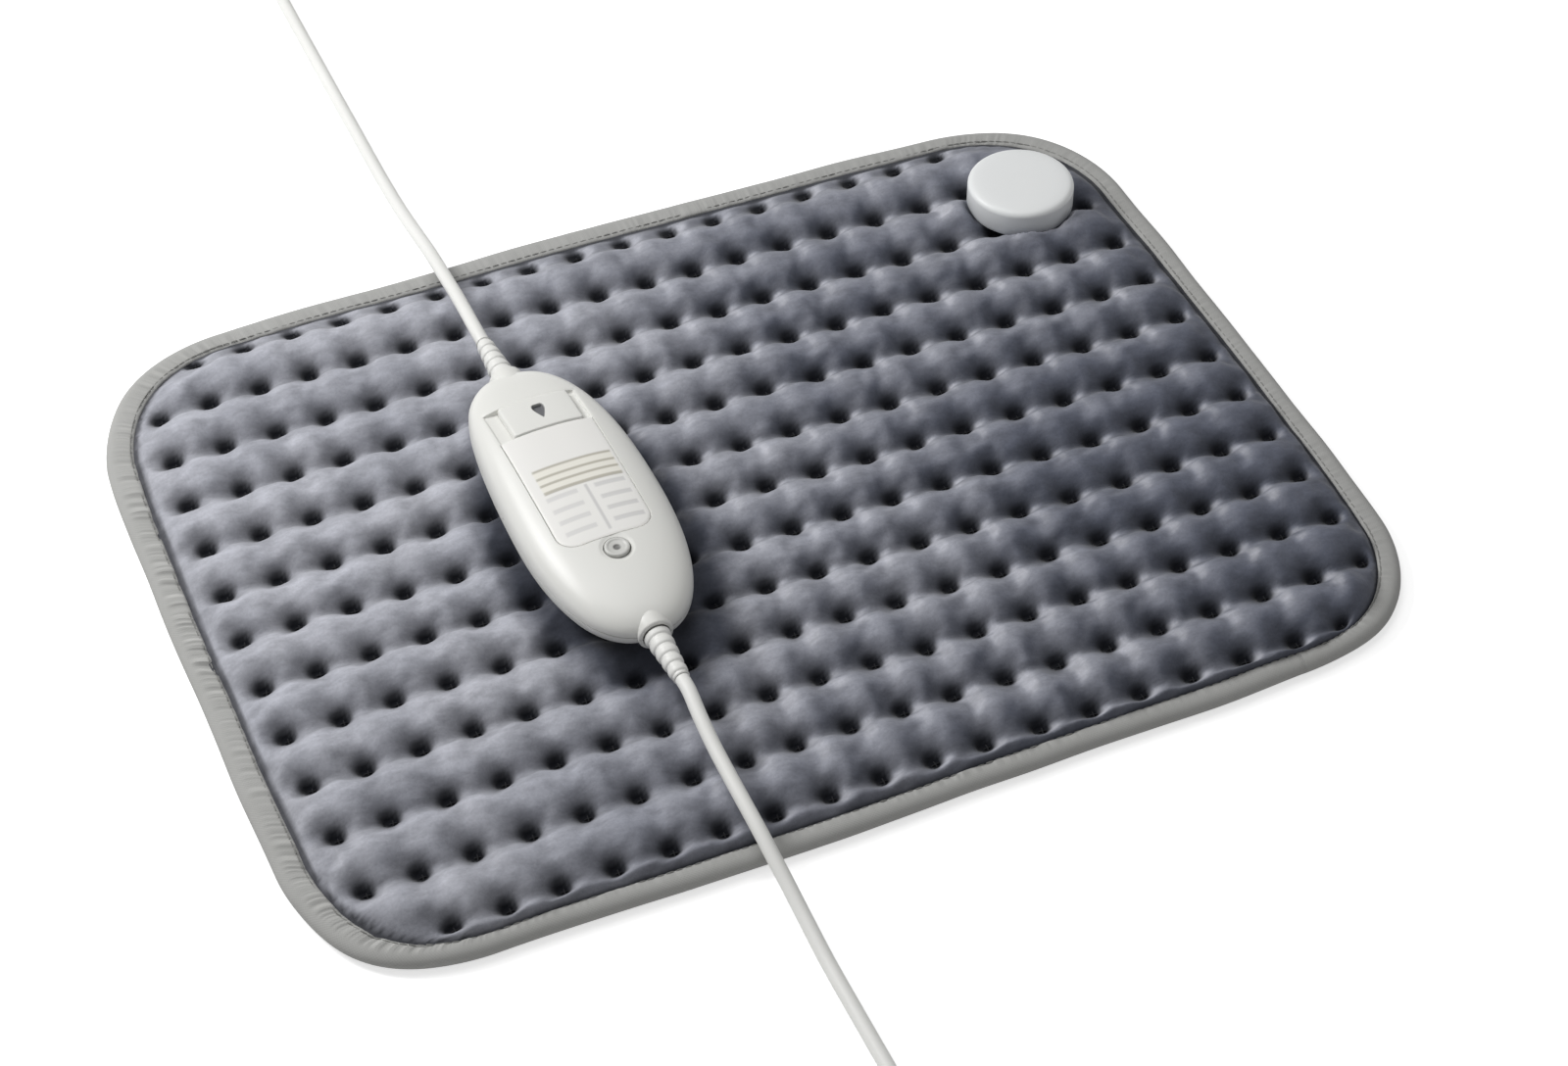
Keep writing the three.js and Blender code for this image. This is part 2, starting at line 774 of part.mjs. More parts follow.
[-pinPitch, pinPitch].forEach((x, place) => {
  const low = wireMiddle - socketFrameZ;
  const points = roundedRoute([
    new THREE.Vector3(x, -pinTail - seatGap, pinHeight),
    new THREE.Vector3(x, -leadHoleY, pinHeight),
    new THREE.Vector3(x, -leadHoleY, low),
    new THREE.Vector3(x, -backingRadius, low),
  ], wireDiameter, wireCornerSteps);
  addPart(socket, `socket_lead_${place + 1}`, pointTube(points, wireDiameter, wireSides), 'wireCoat');
});

// Controller; its own frame has the parting plane at z = 0 and +Y towards the pad lead
const controller = addGroup(model, controllerX, controllerY, controllerZ, controllerTurn);

function signedPower(value, power) {
  return Math.sign(value) * Math.abs(value) ** power;
}

// A smooth dome on an oval foot, with a straight skirt below its foot
function dome(halfLength, halfWidth, height, skirt) {
  const positions = [];
  const levels = [[1, -skirt]];
  for (const share of domeRingShares) {
    const lean = share * Math.PI / 2;
    levels.push([Math.cos(lean) ** (2 / sectionPower), height * Math.sin(lean) ** (2 / sectionPower)]);
  }
  const rings = skirt > 0 ? levels : levels.slice(1);
  for (const [reach, z] of rings) {
    for (let side = 0; side < domeSides; side += 1) {
      const turn = side / domeSides * Math.PI * 2;
      const across = halfWidth * reach * signedPower(Math.cos(turn), 2 / outlinePower);
      const along = halfLength * reach * signedPower(Math.sin(turn), 2 / outlinePower);
      positions.push(across, along, z);
    }
  }
  const foot = positions.length / 3;
  positions.push(0, 0, rings[0][1]);
  const pole = foot + 1;
  positions.push(0, 0, height);
  const faces = [];
  for (let side = 0; side < domeSides; side += 1) {
    const next = (side + 1) % domeSides;
    faces.push(foot, next, side);
    for (let ring = 0; ring < rings.length - 1; ring += 1) {
      const low = ring * domeSides;
      const high = low + domeSides;
      faces.push(low + side, low + next, high + next, low + side, high + next, high + side);
    }
    const last = (rings.length - 1) * domeSides;
    faces.push(last + side, last + next, pole);
  }
  const geometry = new THREE.BufferGeometry();
  geometry.setAttribute('position', new THREE.Float32BufferAttribute(positions, 3));
  return geometry.setIndex(faces);
}

function outerDome(inset, skirt = 0) {
  return dome(controllerLength / 2 - inset, controllerWidth / 2 - inset, upperHeight - inset, skirt);
}

function cavityDome(height) {
  return dome(controllerLength / 2 - noseLength, controllerWidth / 2 - shellWall, height, overrun);
}

// The tapered outside of a strain relief, ring by ring from its root at z = 0 to its tip
function ribbedTaper(length) {
  const profile = [[reliefRootRadius, 0]];
  const ribLength = length / reliefRibs;
  for (let rib = 0; rib < reliefRibs; rib += 1) {
    const radiusAt = (share) => (
      reliefRootRadius + (reliefTipRadius - reliefRootRadius) * (rib + share) / reliefRibs
    );
    const start = rib * ribLength;
    profile.push([radiusAt(ribEndShare), start + ribLength * ribEndShare]);
    profile.push([radiusAt(grooveStartShare) - reliefGrooveDepth, start + ribLength * grooveStartShare]);
    profile.push([radiusAt(grooveEndShare) - reliefGrooveDepth, start + ribLength * grooveEndShare]);
    profile.push([radiusAt(1), start + ribLength]);
  }
  profile.push([0, length]);
  return profile;
}

// Foot of a controller relief: a flange held in the nose, drawn larger by a clearance for its seat
function reliefFoot(clearance) {
  const flange = -noseLength + shellWall;
  const top = flange + reliefFlangeThickness + clearance;
  return [
    [0, flange - clearance], [reliefFlangeRadius + clearance, flange - clearance],
    [reliefFlangeRadius + clearance, top], [reliefNeckRadius + clearance, top],
  ];
}

// Turns a piece built along +Z to point along +Y, or along -Y for the other end
function toEnd(geometry, way) {
  return geometry.rotateX(-way * Math.PI / 2);
}

// Seat of a relief in the nose: a neck bore, a groove for its flange and a way in for the cores
function reliefSeat(way) {
  const [foot, ...groove] = reliefFoot(seatGap);
  const inner = -noseLength - shellWall;
  const seat = turned([
    [0, inner], [reliefNeckRadius, inner], [reliefNeckRadius, foot[1]], ...groove,
    [reliefNeckRadius + seatGap, overrun], [0, overrun],
  ], smallSides);
  return toEnd(seat, way).translate(0, way * reliefRoot, 0);
}

function collar(way) {
  const ring = rod(collarRadius, -noseLength, collarProud, roundSides);
  return toEnd(ring, way).translate(0, way * controllerLength / 2, 0);
}

// All that lies between two heights of a controller piece
function between(geometry, low, high) {
  const wide = controllerLength + 2 * (collarProud + overrun);
  return common(geometry, box(wide, wide, high - low, [0, 0, (high + low) / 2]));
}

function bossPlaces() {
  return [[-bossX, -bossY], [bossX, -bossY], [-bossX, bossY], [bossX, bossY]];
}

// A block that leans with the floor of the switch band
function bandBlock(width, depth, low, high) {
  const block = box(width, depth, high - low, [0, 0, (high + low) / 2]);
  return block.rotateX(bandTilt).translate(0, bandY, bandFloor);
}

// The legend panel's outline through all heights: square at the band, rounded at its near end
function panelPrism(grow) {
  const side = bandWidth / 2 + grow;
  const near = panelNearY - grow;
  const far = panelFarY + grow;
  const radius = panelCornerRadius + grow;
  const shape = new THREE.Shape();
  shape.moveTo(side, far);
  shape.lineTo(-side, far);
  shape.lineTo(-side, near + radius);
  shape.absarc(radius - side, near + radius, radius, Math.PI, Math.PI * 3 / 2, false);
  shape.absarc(side - radius, near + radius, radius, Math.PI * 3 / 2, Math.PI * 2, false);
  return plate(shape, -overrun, upperHeight + overrun);
}

function sideNotches() {
  const across = controllerWidth + 2 * overrun;
  const notch = box(across, sideNotchWidth, sideNotchHeight, [0, sideNotchY, partingHalf]);
  const kept = box(controllerWidth - 2 * sideNotchDepth, controllerLength, upperHeight);
  return cut(notch, kept);
}

function upperShell() {
  const outside = join(outerDome(0), collar(1), collar(-1));
  const bosses = bossPlaces().map(([x, y]) => (
    rod(bossRadius, -2 * overrun, upperHeight).translate(x, y, 0)
  ));
  const tray = bandBlock(bandWidth + 2 * trayWall, bandDepth + 2 * trayWall, -trayWall, upperHeight);
  const cavity = cut(cavityDome(upperHeight - shellWall), ...bosses, tray);
  const band = bandBlock(bandWidth, bandDepth, 0, upperHeight);
  const slotWidth = stemWidth + 2 * (knobTravel + runGap);
  const slot = bandBlock(slotWidth, stemDepth + 2 * runGap, -trayWall - overrun, overrun);
  const recess = cut(panelPrism(seatGap), outerDome(panelThickness + seatGap, 2 * overrun));
  const buttonHole = rod(buttonRadius + runGap, 0, upperHeight + overrun, roundSides);
  const pilots = bossPlaces().map(([x, y]) => (
    rod(screwRadius + seatGap, -overrun, screwTop + seatGap, boreSides).translate(x, y, 0)
  ));
  const shell = cut(
    outside, cavity, band, slot, recess, buttonHole.translate(0, buttonY, 0), ...pilots,
    reliefSeat(1), reliefSeat(-1), sideNotches(),
  );
  return between(shell, partingHalf, upperHeight + overrun);
}

function lowerShell() {
  const half = controllerLength / 2;
  const bowl = dome(half, controllerWidth / 2, lowerDomeHeight, 0).rotateY(Math.PI);
  const outside = join(bowl, collar(1), collar(-1));
  const hollow = cavityDome(lowerDomeHeight - shellWall).rotateY(Math.PI);
  const bosses = bossPlaces().map(([x, y]) => (
    rod(bossRadius, -lowerDomeHeight, 2 * overrun).translate(x, y, 0)
  ));
  const posts = postPlaces().map(([x, y]) => (
    rod(postRadius, -lowerDomeHeight, boardTop - boardThickness - seatGap, boreSides).translate(x, y, 0)
  ));
  const floor = lowerBottom + shellWall;
  const cavity = between(cut(hollow, ...bosses, ...posts), floor, 2 * overrun);
  const bores = bossPlaces().map(([x, y]) => (
    rod(screwRadius + seatGap, -lowerDomeHeight, overrun, boreSides).translate(x, y, 0)
  ));
  const sinks = bossPlaces().map(([x, y]) => (
    rod(screwHeadRadius + runGap, -lowerDomeHeight - overrun, -screwHeadSeat, boreSides).translate(x, y, 0)
  ));
  const shell = cut(outside, cavity, ...bores, ...sinks, reliefSeat(1), reliefSeat(-1));
  return between(shell, lowerBottom, -partingHalf);
}

function postPlaces() {
  return [[-postX, -postY], [postX, -postY], [-postX, postY], [postX, postY]];
}

// Slide knob: a saddle that follows the housing's crown, with a sunken pointer and a forked stem
function slideKnob() {
  const blank = bandBlock(knobWidth, bandDepth - 2 * runGap, seatGap, upperHeight);
  const saddle = common(blank.translate(knobX, 0, 0), outerDome(-knobProud));
  const stemTop = bandFloor + overrun;
  const stemMiddle = (stemTop + stemBottom) / 2;
  const stem = box(stemWidth, stemDepth, stemTop - stemBottom, [knobX, bandY, stemMiddle]);
  const socketTopZ = sliderTop + seatGap;
  const socketMiddle = (socketTopZ + stemBottom - overrun) / 2;
  const fork = box(
    sliderWidth + 2 * seatGap, sliderDepth + 2 * seatGap, socketTopZ - stemBottom + overrun,
    [knobX, bandY, socketMiddle],
  );
  const leaf = new THREE.Shape();
  leaf.moveTo(0, -pointerLength / 2);
  leaf.quadraticCurveTo(pointerWidth, pointerLength * pointerCrownShare, 0, pointerLength / 2);
  leaf.quadraticCurveTo(-pointerWidth, pointerLength * pointerCrownShare, 0, -pointerLength / 2);
  const pointer = plate(leaf, -pointerDepth, upperHeight).rotateX(bandTilt);
  pointer.translate(knobX, bandY, surfaceHeight(bandY) + knobProud);
  return cut(join(saddle, stem), fork, pointer);
}

// Height of the housing's crown over a place on its long middle line
function surfaceHeight(y) {
  const share = Math.abs(y) / (controllerLength / 2);
  return upperHeight * (1 - share ** sectionPower) ** (1 / sectionPower);
}

function slideSwitchBody() {
  const bottom = boardTop + seatGap;
  const top = bottom + switchBodyHeight;
  const body = box(switchBodyWidth, switchBodyDepth, switchBodyHeight, [0, bandY, (bottom + top) / 2]);
  const channelWidth = sliderFootWidth + 2 * (knobTravel + runGap);
  const channelDepth = sliderFootHeight + 2 * seatGap;
  const channel = box(
    channelWidth, sliderFootDepth + 2 * seatGap, channelDepth + overrun,
    [0, bandY, top + (overrun - channelDepth) / 2],
  );
  return cut(body, channel);
}

function switchSlider() {
  const footTop = boardTop + seatGap + switchBodyHeight - seatGap;
  const footMiddle = footTop - sliderFootHeight / 2;
  const foot = box(sliderFootWidth, sliderFootDepth, sliderFootHeight, [knobX, bandY, footMiddle]);
  const postHeight = sliderTop - footMiddle;
  const post = box(sliderWidth, sliderDepth, postHeight, [knobX, bandY, footMiddle + postHeight / 2]);
  return join(foot, post);
}

function pushButton() {
  const flangeBottom = buttonFlangeTop - buttonFlangeThickness;
  const profile = [
    [0, buttonStemBottom], [buttonStemRadius, buttonStemBottom], [buttonStemRadius, flangeBottom],
    [buttonFlangeRadius, flangeBottom], [buttonFlangeRadius, buttonFlangeTop],
    [buttonRadius, buttonFlangeTop], [buttonRadius, buttonTop - buttonDish / 2],
    [buttonRadius - buttonDish / 2, buttonTop], [buttonRadius / 2, buttonTop],
    [buttonRadius / 4, buttonTop - buttonDish], [0, buttonTop - buttonDish],
  ];
  return turned(profile, roundSides).translate(0, buttonY, 0);
}

function keySwitchBody() {
  const bottom = boardTop + seatGap;
  const middle = [0, buttonY, bottom + keySwitchHeight / 2];
  const body = box(keySwitchSize, keySwitchSize, keySwitchHeight, middle);
  const plungerBottom = buttonStemBottom - seatGap - plungerLength;
  const boreBottom = plungerBottom - buttonTravel - seatGap;
  const bore = rod(plungerRadius + seatGap, boreBottom, buttonStemBottom).translate(0, buttonY, 0);
  return cut(body, bore);
}

addPart(controller, 'controller_upper_shell', upperShell(), 'housing');
addPart(controller, 'controller_lower_shell', lowerShell(), 'housing');

const panelBlank = common(outerDome(0), panelPrism(0));
const legendPanel = cut(panelBlank, outerDome(panelThickness, 2 * overrun));
addPart(controller, 'legend_panel', legendPanel, 'panel');
addPart(controller, 'slide_knob', slideKnob(), 'housing');
addPart(controller, 'slide_switch_body', slideSwitchBody(), 'component');
addPart(controller, 'switch_slider', switchSlider(), 'component');
addPart(controller, 'push_button', pushButton(), 'button');
addPart(controller, 'key_switch_body', keySwitchBody(), 'component');

const plungerTop = buttonStemBottom - seatGap;
const plunger = rod(plungerRadius, plungerTop - plungerLength, plungerTop).translate(0, buttonY, 0);
addPart(controller, 'key_switch_plunger', plunger, 'component');

const boardMiddle = boardTop - boardThickness / 2;
const circuitBoard = box(boardWidth, boardLength, boardThickness, [0, 0, boardMiddle]);
addPart(controller, 'circuit_board', circuitBoard, 'board');

// Components stand on the board at these shares of its half width and half length
const boardFuseShares = [-0.62, -0.2];
const thyristorShares = [0.55, 0.2];
const capacitorShares = [0.62, -0.4];
const chipShares = [-0.1, 0.28];

function addComponent(name, shares, geometry, height, finish) {
  const x = shares[0] * boardWidth / 2;
  const y = shares[1] * boardLength / 2;
  addPart(controller, name, geometry.translate(x, y, boardTop + seatGap + height / 2), finish);
}

const boardFuse = rod(boardFuseRadius, -boardFuseLength / 2, boardFuseLength / 2).rotateX(Math.PI / 2);
addComponent('board_fuse', boardFuseShares, boardFuse, 2 * boardFuseRadius, 'brass');
addComponent('thyristor', thyristorShares, box(...thyristorSize), thyristorSize[2], 'component');
addComponent('capacitor', capacitorShares, box(...capacitorSize), capacitorSize[2], 'component');
addComponent('control_chip', chipShares, box(...chipSize), chipSize[2], 'component');

bossPlaces().forEach(([x, y], place) => {
  const seat = -screwHeadSeat - seatGap;
  const screw = turned([
    [0, seat - screwHeadHeight], [screwHeadRadius, seat - screwHeadHeight], [screwHeadRadius, seat],
    [screwRadius, seat], [screwRadius, screwTop], [0, screwTop],
  ], boreSides);
  addPart(controller, `case_screw_${place + 1}`, screw.translate(x, y, 0), 'steel');
});

// Strain reliefs at both ends, and the cores that run from them to the board
for (const [end, way] of [['pad', 1], ['mains', -1]]) {
  const profile = [...reliefFoot(0), [reliefNeckRadius, 0], ...ribbedTaper(reliefLength)];
  const relief = toEnd(turned(profile, smallSides), way);
  addPart(controller, `${end}_strain_relief`, relief.translate(0, way * reliefRoot, 0), 'cord');
  for (const [core, side] of [['live', -1], ['neutral', 1]]) {
    const start = reliefRoot - noseLength + shellWall - seatGap;
    const points = roundedRoute([
      new THREE.Vector3(side * coreApart, way * start, 0),
      new THREE.Vector3(side * coreApart, way * (bossY + bossRadius / 2), 0),
      new THREE.Vector3(side * coreSpread, way * (boardLength / 2 + postRadius), 0),
      new THREE.Vector3(side * coreSpread, way * bandY, 0),
      new THREE.Vector3(side * coreSpread, way * bandY, boardTop + seatGap),
    ], coreDiameter, wireCornerSteps);
    addPart(controller, `${end}_core_${core}`, pointTube(points, coreDiameter, wireSides), 'wireCoat');
  }
}

// Coils: loops wound clockwise from the outside, layer on layer
function coilRoute(coil) {
  const loopsPerLayer = coil.loops / coil.layers;
  const growth = turnPitch * loopsPerLayer;
  const outer = coil.middleRadius + growth / 2;
  const steps = Math.round(coil.loops * coilSteps);
  const points = [];
  for (let step = 0; step <= steps; step += 1) {
    const wound = step / coilSteps;
    const phase = wound / loopsPerLayer;
    const fold = phase % 2 < 1 ? phase % 2 : 2 - phase % 2;
    let climbed = 0;
    for (let layer = 1; layer < coil.layers; layer += 1) {
      climbed += THREE.MathUtils.clamp((wound - layer * loopsPerLayer) * 2 + 0.5, 0, 1);
    }
    const turn = coil.startTurn - wound * Math.PI * 2;
    const radius = outer - growth * fold;
    points.push(new THREE.Vector3(
      coil.x + radius * Math.cos(turn),
      coil.y + radius * Math.sin(turn),
      coilFloorMiddle + climbed * layerPitch,
    ));
  }
  const wayIn = new THREE.Vector3(Math.sin(coil.startTurn), -Math.cos(coil.startTurn), 0);
  const endTurn = coil.startTurn - coil.loops * Math.PI * 2;
  const wayOut = new THREE.Vector3(Math.sin(endTurn), -Math.cos(endTurn), 0);
  const entry = points[0].clone().addScaledVector(wayIn, -cordDiameter);
  const exit = points.at(-1).clone().addScaledVector(wayOut, cordDiameter);
  return { points: [entry, ...points, exit], entry, exit, wayIn, wayOut };
}

// Least clear space between turns of one coil, measured at its points
function leastTurnGap(points) {
  let least = Infinity;
  const apart = coilSteps / 2;
  points.forEach((point, place) => {
    for (let other = place + apart; other < points.length; other += 1) {
      least = Math.min(least, point.distanceTo(points[other]) - cordDiameter);
    }
  });
  return least;
}

// A band round a coil's bundle of turns, opposite its start
function coilTie(coil) {
  const bundleWide = turnPitch * coil.loops / coil.layers + cordDiameter;
  const bundleHigh = layerPitch * (coil.layers - 1) + cordDiameter;
  const bottom = cordFloorGap;
  const wide = bundleWide + 2 * tieGap;
  const high = bundleHigh + 2 * seatGap;
  const wall = 2 * tieThickness;
  const middle = [coil.middleRadius, 0, bottom + tieThickness + high / 2];
  const band = box(wide + wall, tieWidth, high + wall, middle);
  const opening = box(wide, tieWidth + overrun, high, middle);
  return cut(band, opening).rotateZ(coil.startTurn + Math.PI * 5 / 4).translate(coil.x, coil.y, 0);
}

const mainsCoil = {
  loops: mainsCoilLoops,
  layers: mainsCoilLayers,
  middleRadius: mainsCoilMiddleRadius,
  startTurn: 0,
  x: mainsCoilX,
  y: mainsCoilY,
};
const padCoil = {
  loops: padCoilLoops,
  layers: padCoilLayers,
  middleRadius: padCoilMiddleRadius,
  startTurn: Math.PI,
  x: padCoilX,
  y: padCoilY,
};

function addCoil(name, coil) {
  const route = coilRoute(coil);
  addPart(model, `${name}_lead_coil`, pointTube(route.points, cordDiameter, coilSides), 'cord');
  addPart(model, `${name}_coil_tie`, coilTie(coil), 'component');
  const gap = leastTurnGap(route.points);
  console.log(`${name}_lead_coil least gap between turns: ${gap.toFixed(2)} mm`);
  return route;
}

const mainsRoute = addCoil('mains', mainsCoil);
const padRoute = addCoil('pad', padCoil);

// A place in the model for a place on the controller's middle line
function fromController(y) {
  const place = new THREE.Vector3(0, y, 0).applyAxisAngle(new THREE.Vector3(0, 0, 1), controllerTurn);
  return place.add(new THREE.Vector3(controllerX, controllerY, controllerZ));
}

function at(x, y, z) {
  return new THREE.Vector3(x, y, z);
}

// Mains lead: off the controller, over the near hem and along the floor to its coil
const mainsLeadPoints = [
  fromController(-(reliefTip + seatGap)),
  fromController(-(reliefTip + seatGap + cordDiameter)),
  at(-55.6, -104, 21.8),
  at(-54.9, -117, 18.0),
  at(-54.4, -128, 16.9),
  at(-54.0, -139, 16.4),
  at(-53.7, -148, 13.4),
  at(-53.4, -157, 9.3),
  at(-53.0, -168, 5.0),
  at(-52.6, -180, 2.9),
  at(-52.2, -200, 2.6),
  at(-51.5, -225, 2.6),
  at(-50.8, -250, 2.6),
  at(-50.45, -270, 2.9),
  mainsRoute.entry.clone().addScaledVector(mainsRoute.wayIn, -cordDiameter),
  mainsRoute.entry.clone().addScaledVector(mainsRoute.wayIn, -seatGap),
];

// Pad lead: off the controller's far end, over the far hem and along the floor to its coil
const padLeadPoints = [
  fromController(reliefTip + seatGap),
  fromController(reliefTip + seatGap + cordDiameter),
  at(-60.9, 106, 21.6),
  at(-60.9, 118, 18.2),
  at(-60.8, 129, 16.9),
  at(-60.6, 140, 16.2),
  at(-60.4, 149, 13.2),
  at(-60.2, 158, 9.3),
  at(-60.0, 170, 5.0),
  at(-59.9, 183, 2.9),
  at(-59.8, 210, 2.6),
  at(-59.6, 250, 2.6),
  at(-59.3, 300, 2.6),
  at(-59.05, 345, 2.8),
  padRoute.entry.clone().addScaledVector(padRoute.wayIn, -cordDiameter),
  padRoute.entry.clone().addScaledVector(padRoute.wayIn, -seatGap),
];

addPart(model, 'mains_lead', leadTube(mainsLeadPoints), 'cord');
addPart(model, 'pad_lead', leadTube(padLeadPoints), 'cord');

// A lead's tail sinks from the coil's top layer to the middle height of its plug
function tailPoints(route, run, plugMiddle) {
  const along = (reach, height) => route.exit.clone().addScaledVector(route.wayOut, reach).setZ(height);
  const top = route.exit.z;
  const points = [along(seatGap, top), along(cordDiameter, top)];
  for (const share of tailSinkShares) {
    const reach = THREE.MathUtils.lerp(cordDiameter, run - cordDiameter, share);
    const sunk = THREE.MathUtils.smoothstep(share, 0, 1);
    points.push(along(reach, THREE.MathUtils.lerp(top, plugMiddle, sunk)));
  }
  points.push(along(run - cordDiameter, plugMiddle), along(run, plugMiddle));
  return points;
}

// Plugs lie at the tails' ends; their own frames point along +X with the lead coming from -X
function plugGroup(route, run, plugMiddle) {
  const turn = Math.atan2(route.wayOut.y, route.wayOut.x);
  const end = route.exit.clone().addScaledVector(route.wayOut, run + seatGap);
  return addGroup(model, end.x, end.y, plugMiddle, turn);
}

// A tapered relief along +X: its tip is at x = 0 and its stub sits in a plug's rear
function plugRelief(length) {
  const stub = [[0, -plugPinRoot], [reliefNeckRadius, -plugPinRoot], [reliefNeckRadius, 0]];
  const relief = turned([...stub, ...ribbedTaper(length)], smallSides);
  return relief.rotateY(-Math.PI / 2).translate(length, 0, 0);
}

function reliefBore() {
  const bore = rod(reliefNeckRadius + seatGap, -overrun, plugPinRoot + seatGap);
  return bore.rotateY(Math.PI / 2);
}

// Outline of the mains plug seen from above: a broad face and a tapered rear
function mainsPlugOutline(inset) {
  const face = plugWidth / 2 - inset;
  const rear = plugRearWidth / 2 - inset;
  const front = plugLength - inset;
  const shoulder = plugLength * plugShoulderShare;
  const waist = plugLength * plugWaistShare;
  const bend = plugLength * plugRearShare;
  const shape = new THREE.Shape();
  shape.moveTo(inset, -rear);
  shape.quadraticCurveTo(bend, -rear, waist, -(face + rear) / 2);
  shape.lineTo(shoulder, -face);
  shape.lineTo(front, -face);
  shape.lineTo(front, face);
  shape.lineTo(shoulder, face);
  shape.lineTo(waist, (face + rear) / 2);
  shape.quadraticCurveTo(bend, rear, inset, rear);
  return shape;
}

function mainsPlugBody() {
  const body = softPlate(mainsPlugOutline, plugRounding, -plugHeight / 2, plugHeight / 2, softSteps);
  const bores = [-1, 1].map((side) => {
    const bore = rod(plugPinRadius + seatGap, -plugPinRoot - seatGap, overrun).rotateY(Math.PI / 2);
    return bore.translate(plugLength, side * plugPinSpacing / 2, 0);
  });
  return cut(body, reliefBore(), ...bores);
}

function mainsPin() {
  const sleeve = plugPinRoot + plugSleeveLength;
  return turned([
    [0, 0], [plugSleeveRadius, 0], [plugSleeveRadius, sleeve], [plugPinRadius, sleeve],
    [plugPinRadius, plugPinRoot + plugPinLength - plugPinRadius / 2],
    [plugPinRadius / 2, plugPinRoot + plugPinLength], [0, plugPinRoot + plugPinLength],
  ], smallSides).rotateY(Math.PI / 2);
}

const mainsPlugMiddle = plugHeight / 2 + cordFloorGap;
const mainsPlug = plugGroup(mainsRoute, mainsTailRun, mainsPlugMiddle);
const mainsRearX = plugReliefLength + seatGap;
addPart(model, 'mains_lead_tail', leadTube(tailPoints(mainsRoute, mainsTailRun, mainsPlugMiddle)), 'cord');
addPart(mainsPlug, 'mains_plug_relief', plugRelief(plugReliefLength), 'cord');
addPart(mainsPlug, 'mains_plug_body', mainsPlugBody().translate(mainsRearX, 0, 0), 'cord');
[-1, 1].forEach((side, place) => {
  const root = mainsRearX + plugLength - plugPinRoot;
  const pin = mainsPin().translate(root, side * plugPinSpacing / 2, 0);
  addPart(mainsPlug, `mains_plug_pin_${place + 1}`, pin, 'brass');
});

// Outline of the pad plug seen from above: its face is hollowed to fit round the socket
function padPlugOutline(inset) {
  const side = padPlugWidth / 2 - inset;
  const rear = padPlugRearWidth / 2 - inset;
  const hollow = socketRadius + seatGap + inset;
  const sweep = Math.asin(side / hollow);
  const centre = padPlugLength + socketRadius;
  const waist = padPlugLength * padPlugWaistShare;
  const bend = padPlugLength * padPlugRearShare;
  const shape = new THREE.Shape();
  shape.moveTo(inset, -rear);
  shape.quadraticCurveTo(bend, -side, waist, -side);
  shape.lineTo(centre - hollow * Math.cos(sweep), -side);
  shape.absarc(centre, 0, hollow, Math.PI + sweep, Math.PI - sweep, true);
  shape.lineTo(waist, side);
  shape.quadraticCurveTo(bend, side, inset, rear);
  return shape;
}

function padPlugBody() {
  const top = padPlugHeight / 2;
  const body = softPlate(padPlugOutline, padPlugRounding, -top, top, softSteps);
  const reach = tongueLength + socketWall;
  const middle = [padPlugLength + tongueLength - reach / 2, 0, 0];
  const tongue = box(reach, mouthWidth - 2 * runGap, mouthHeight - 2 * runGap, middle);
  const depth = pinTip - mouthFloorY + seatGap;
  const sleeves = pinPlaces().map((y) => {
    const bore = rod(pinDiameter / 2 + seatGap, -depth, overrun, boreSides).rotateY(Math.PI / 2);
    return bore.translate(padPlugLength + tongueLength, y, 0);
  });
  return cut(join(body, tongue), reliefBore(), ...sleeves);
}

const padPlugMiddle = padPlugHeight / 2 + cordFloorGap;
const padPlug = plugGroup(padRoute, padTailRun, padPlugMiddle);
addPart(model, 'pad_lead_tail', leadTube(tailPoints(padRoute, padTailRun, padPlugMiddle)), 'cord');
addPart(padPlug, 'pad_plug_relief', plugRelief(padReliefLength), 'cord');
addPart(padPlug, 'pad_plug_body', padPlugBody().translate(padReliefLength + seatGap, 0, 0), 'socketWhite');

export default model;
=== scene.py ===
"""A quilted heating pad with a hand switch in its lead, dressed for a plain studio picture.

Sizes are written in millimetres and turned to metres where a mesh is made.
"""

import logging
import math
from dataclasses import dataclass
from enum import Enum
from typing import Callable

import bmesh
import bpy
import numpy as np
from mathutils import Matrix, Vector


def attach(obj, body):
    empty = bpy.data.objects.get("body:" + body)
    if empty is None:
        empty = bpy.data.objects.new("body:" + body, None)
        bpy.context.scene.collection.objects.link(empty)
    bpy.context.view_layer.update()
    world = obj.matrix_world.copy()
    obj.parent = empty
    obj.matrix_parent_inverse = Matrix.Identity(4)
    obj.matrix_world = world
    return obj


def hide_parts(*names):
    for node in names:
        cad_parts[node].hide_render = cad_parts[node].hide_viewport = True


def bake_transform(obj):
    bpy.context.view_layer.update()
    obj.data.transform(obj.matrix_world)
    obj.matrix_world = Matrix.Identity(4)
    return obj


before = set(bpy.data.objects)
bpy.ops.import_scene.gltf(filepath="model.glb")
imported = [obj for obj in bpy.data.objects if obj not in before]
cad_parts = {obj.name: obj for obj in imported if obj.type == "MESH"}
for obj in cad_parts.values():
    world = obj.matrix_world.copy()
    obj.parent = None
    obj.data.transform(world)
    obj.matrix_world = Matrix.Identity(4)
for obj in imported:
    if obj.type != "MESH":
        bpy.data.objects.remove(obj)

log = logging.getLogger("pad")
MM = 0.001
Array = np.ndarray
Field = Callable[[Array, Array], Array]
Body = tuple[Array, list]
Pair = tuple[float, float]
Triple = tuple[float, float, float]


class End(Enum):
    """The two ends of the hand switch, by the way they point along its length."""

    PAD = 1
    MAINS = -1


# ---- Small tools for meshes, all in millimetres


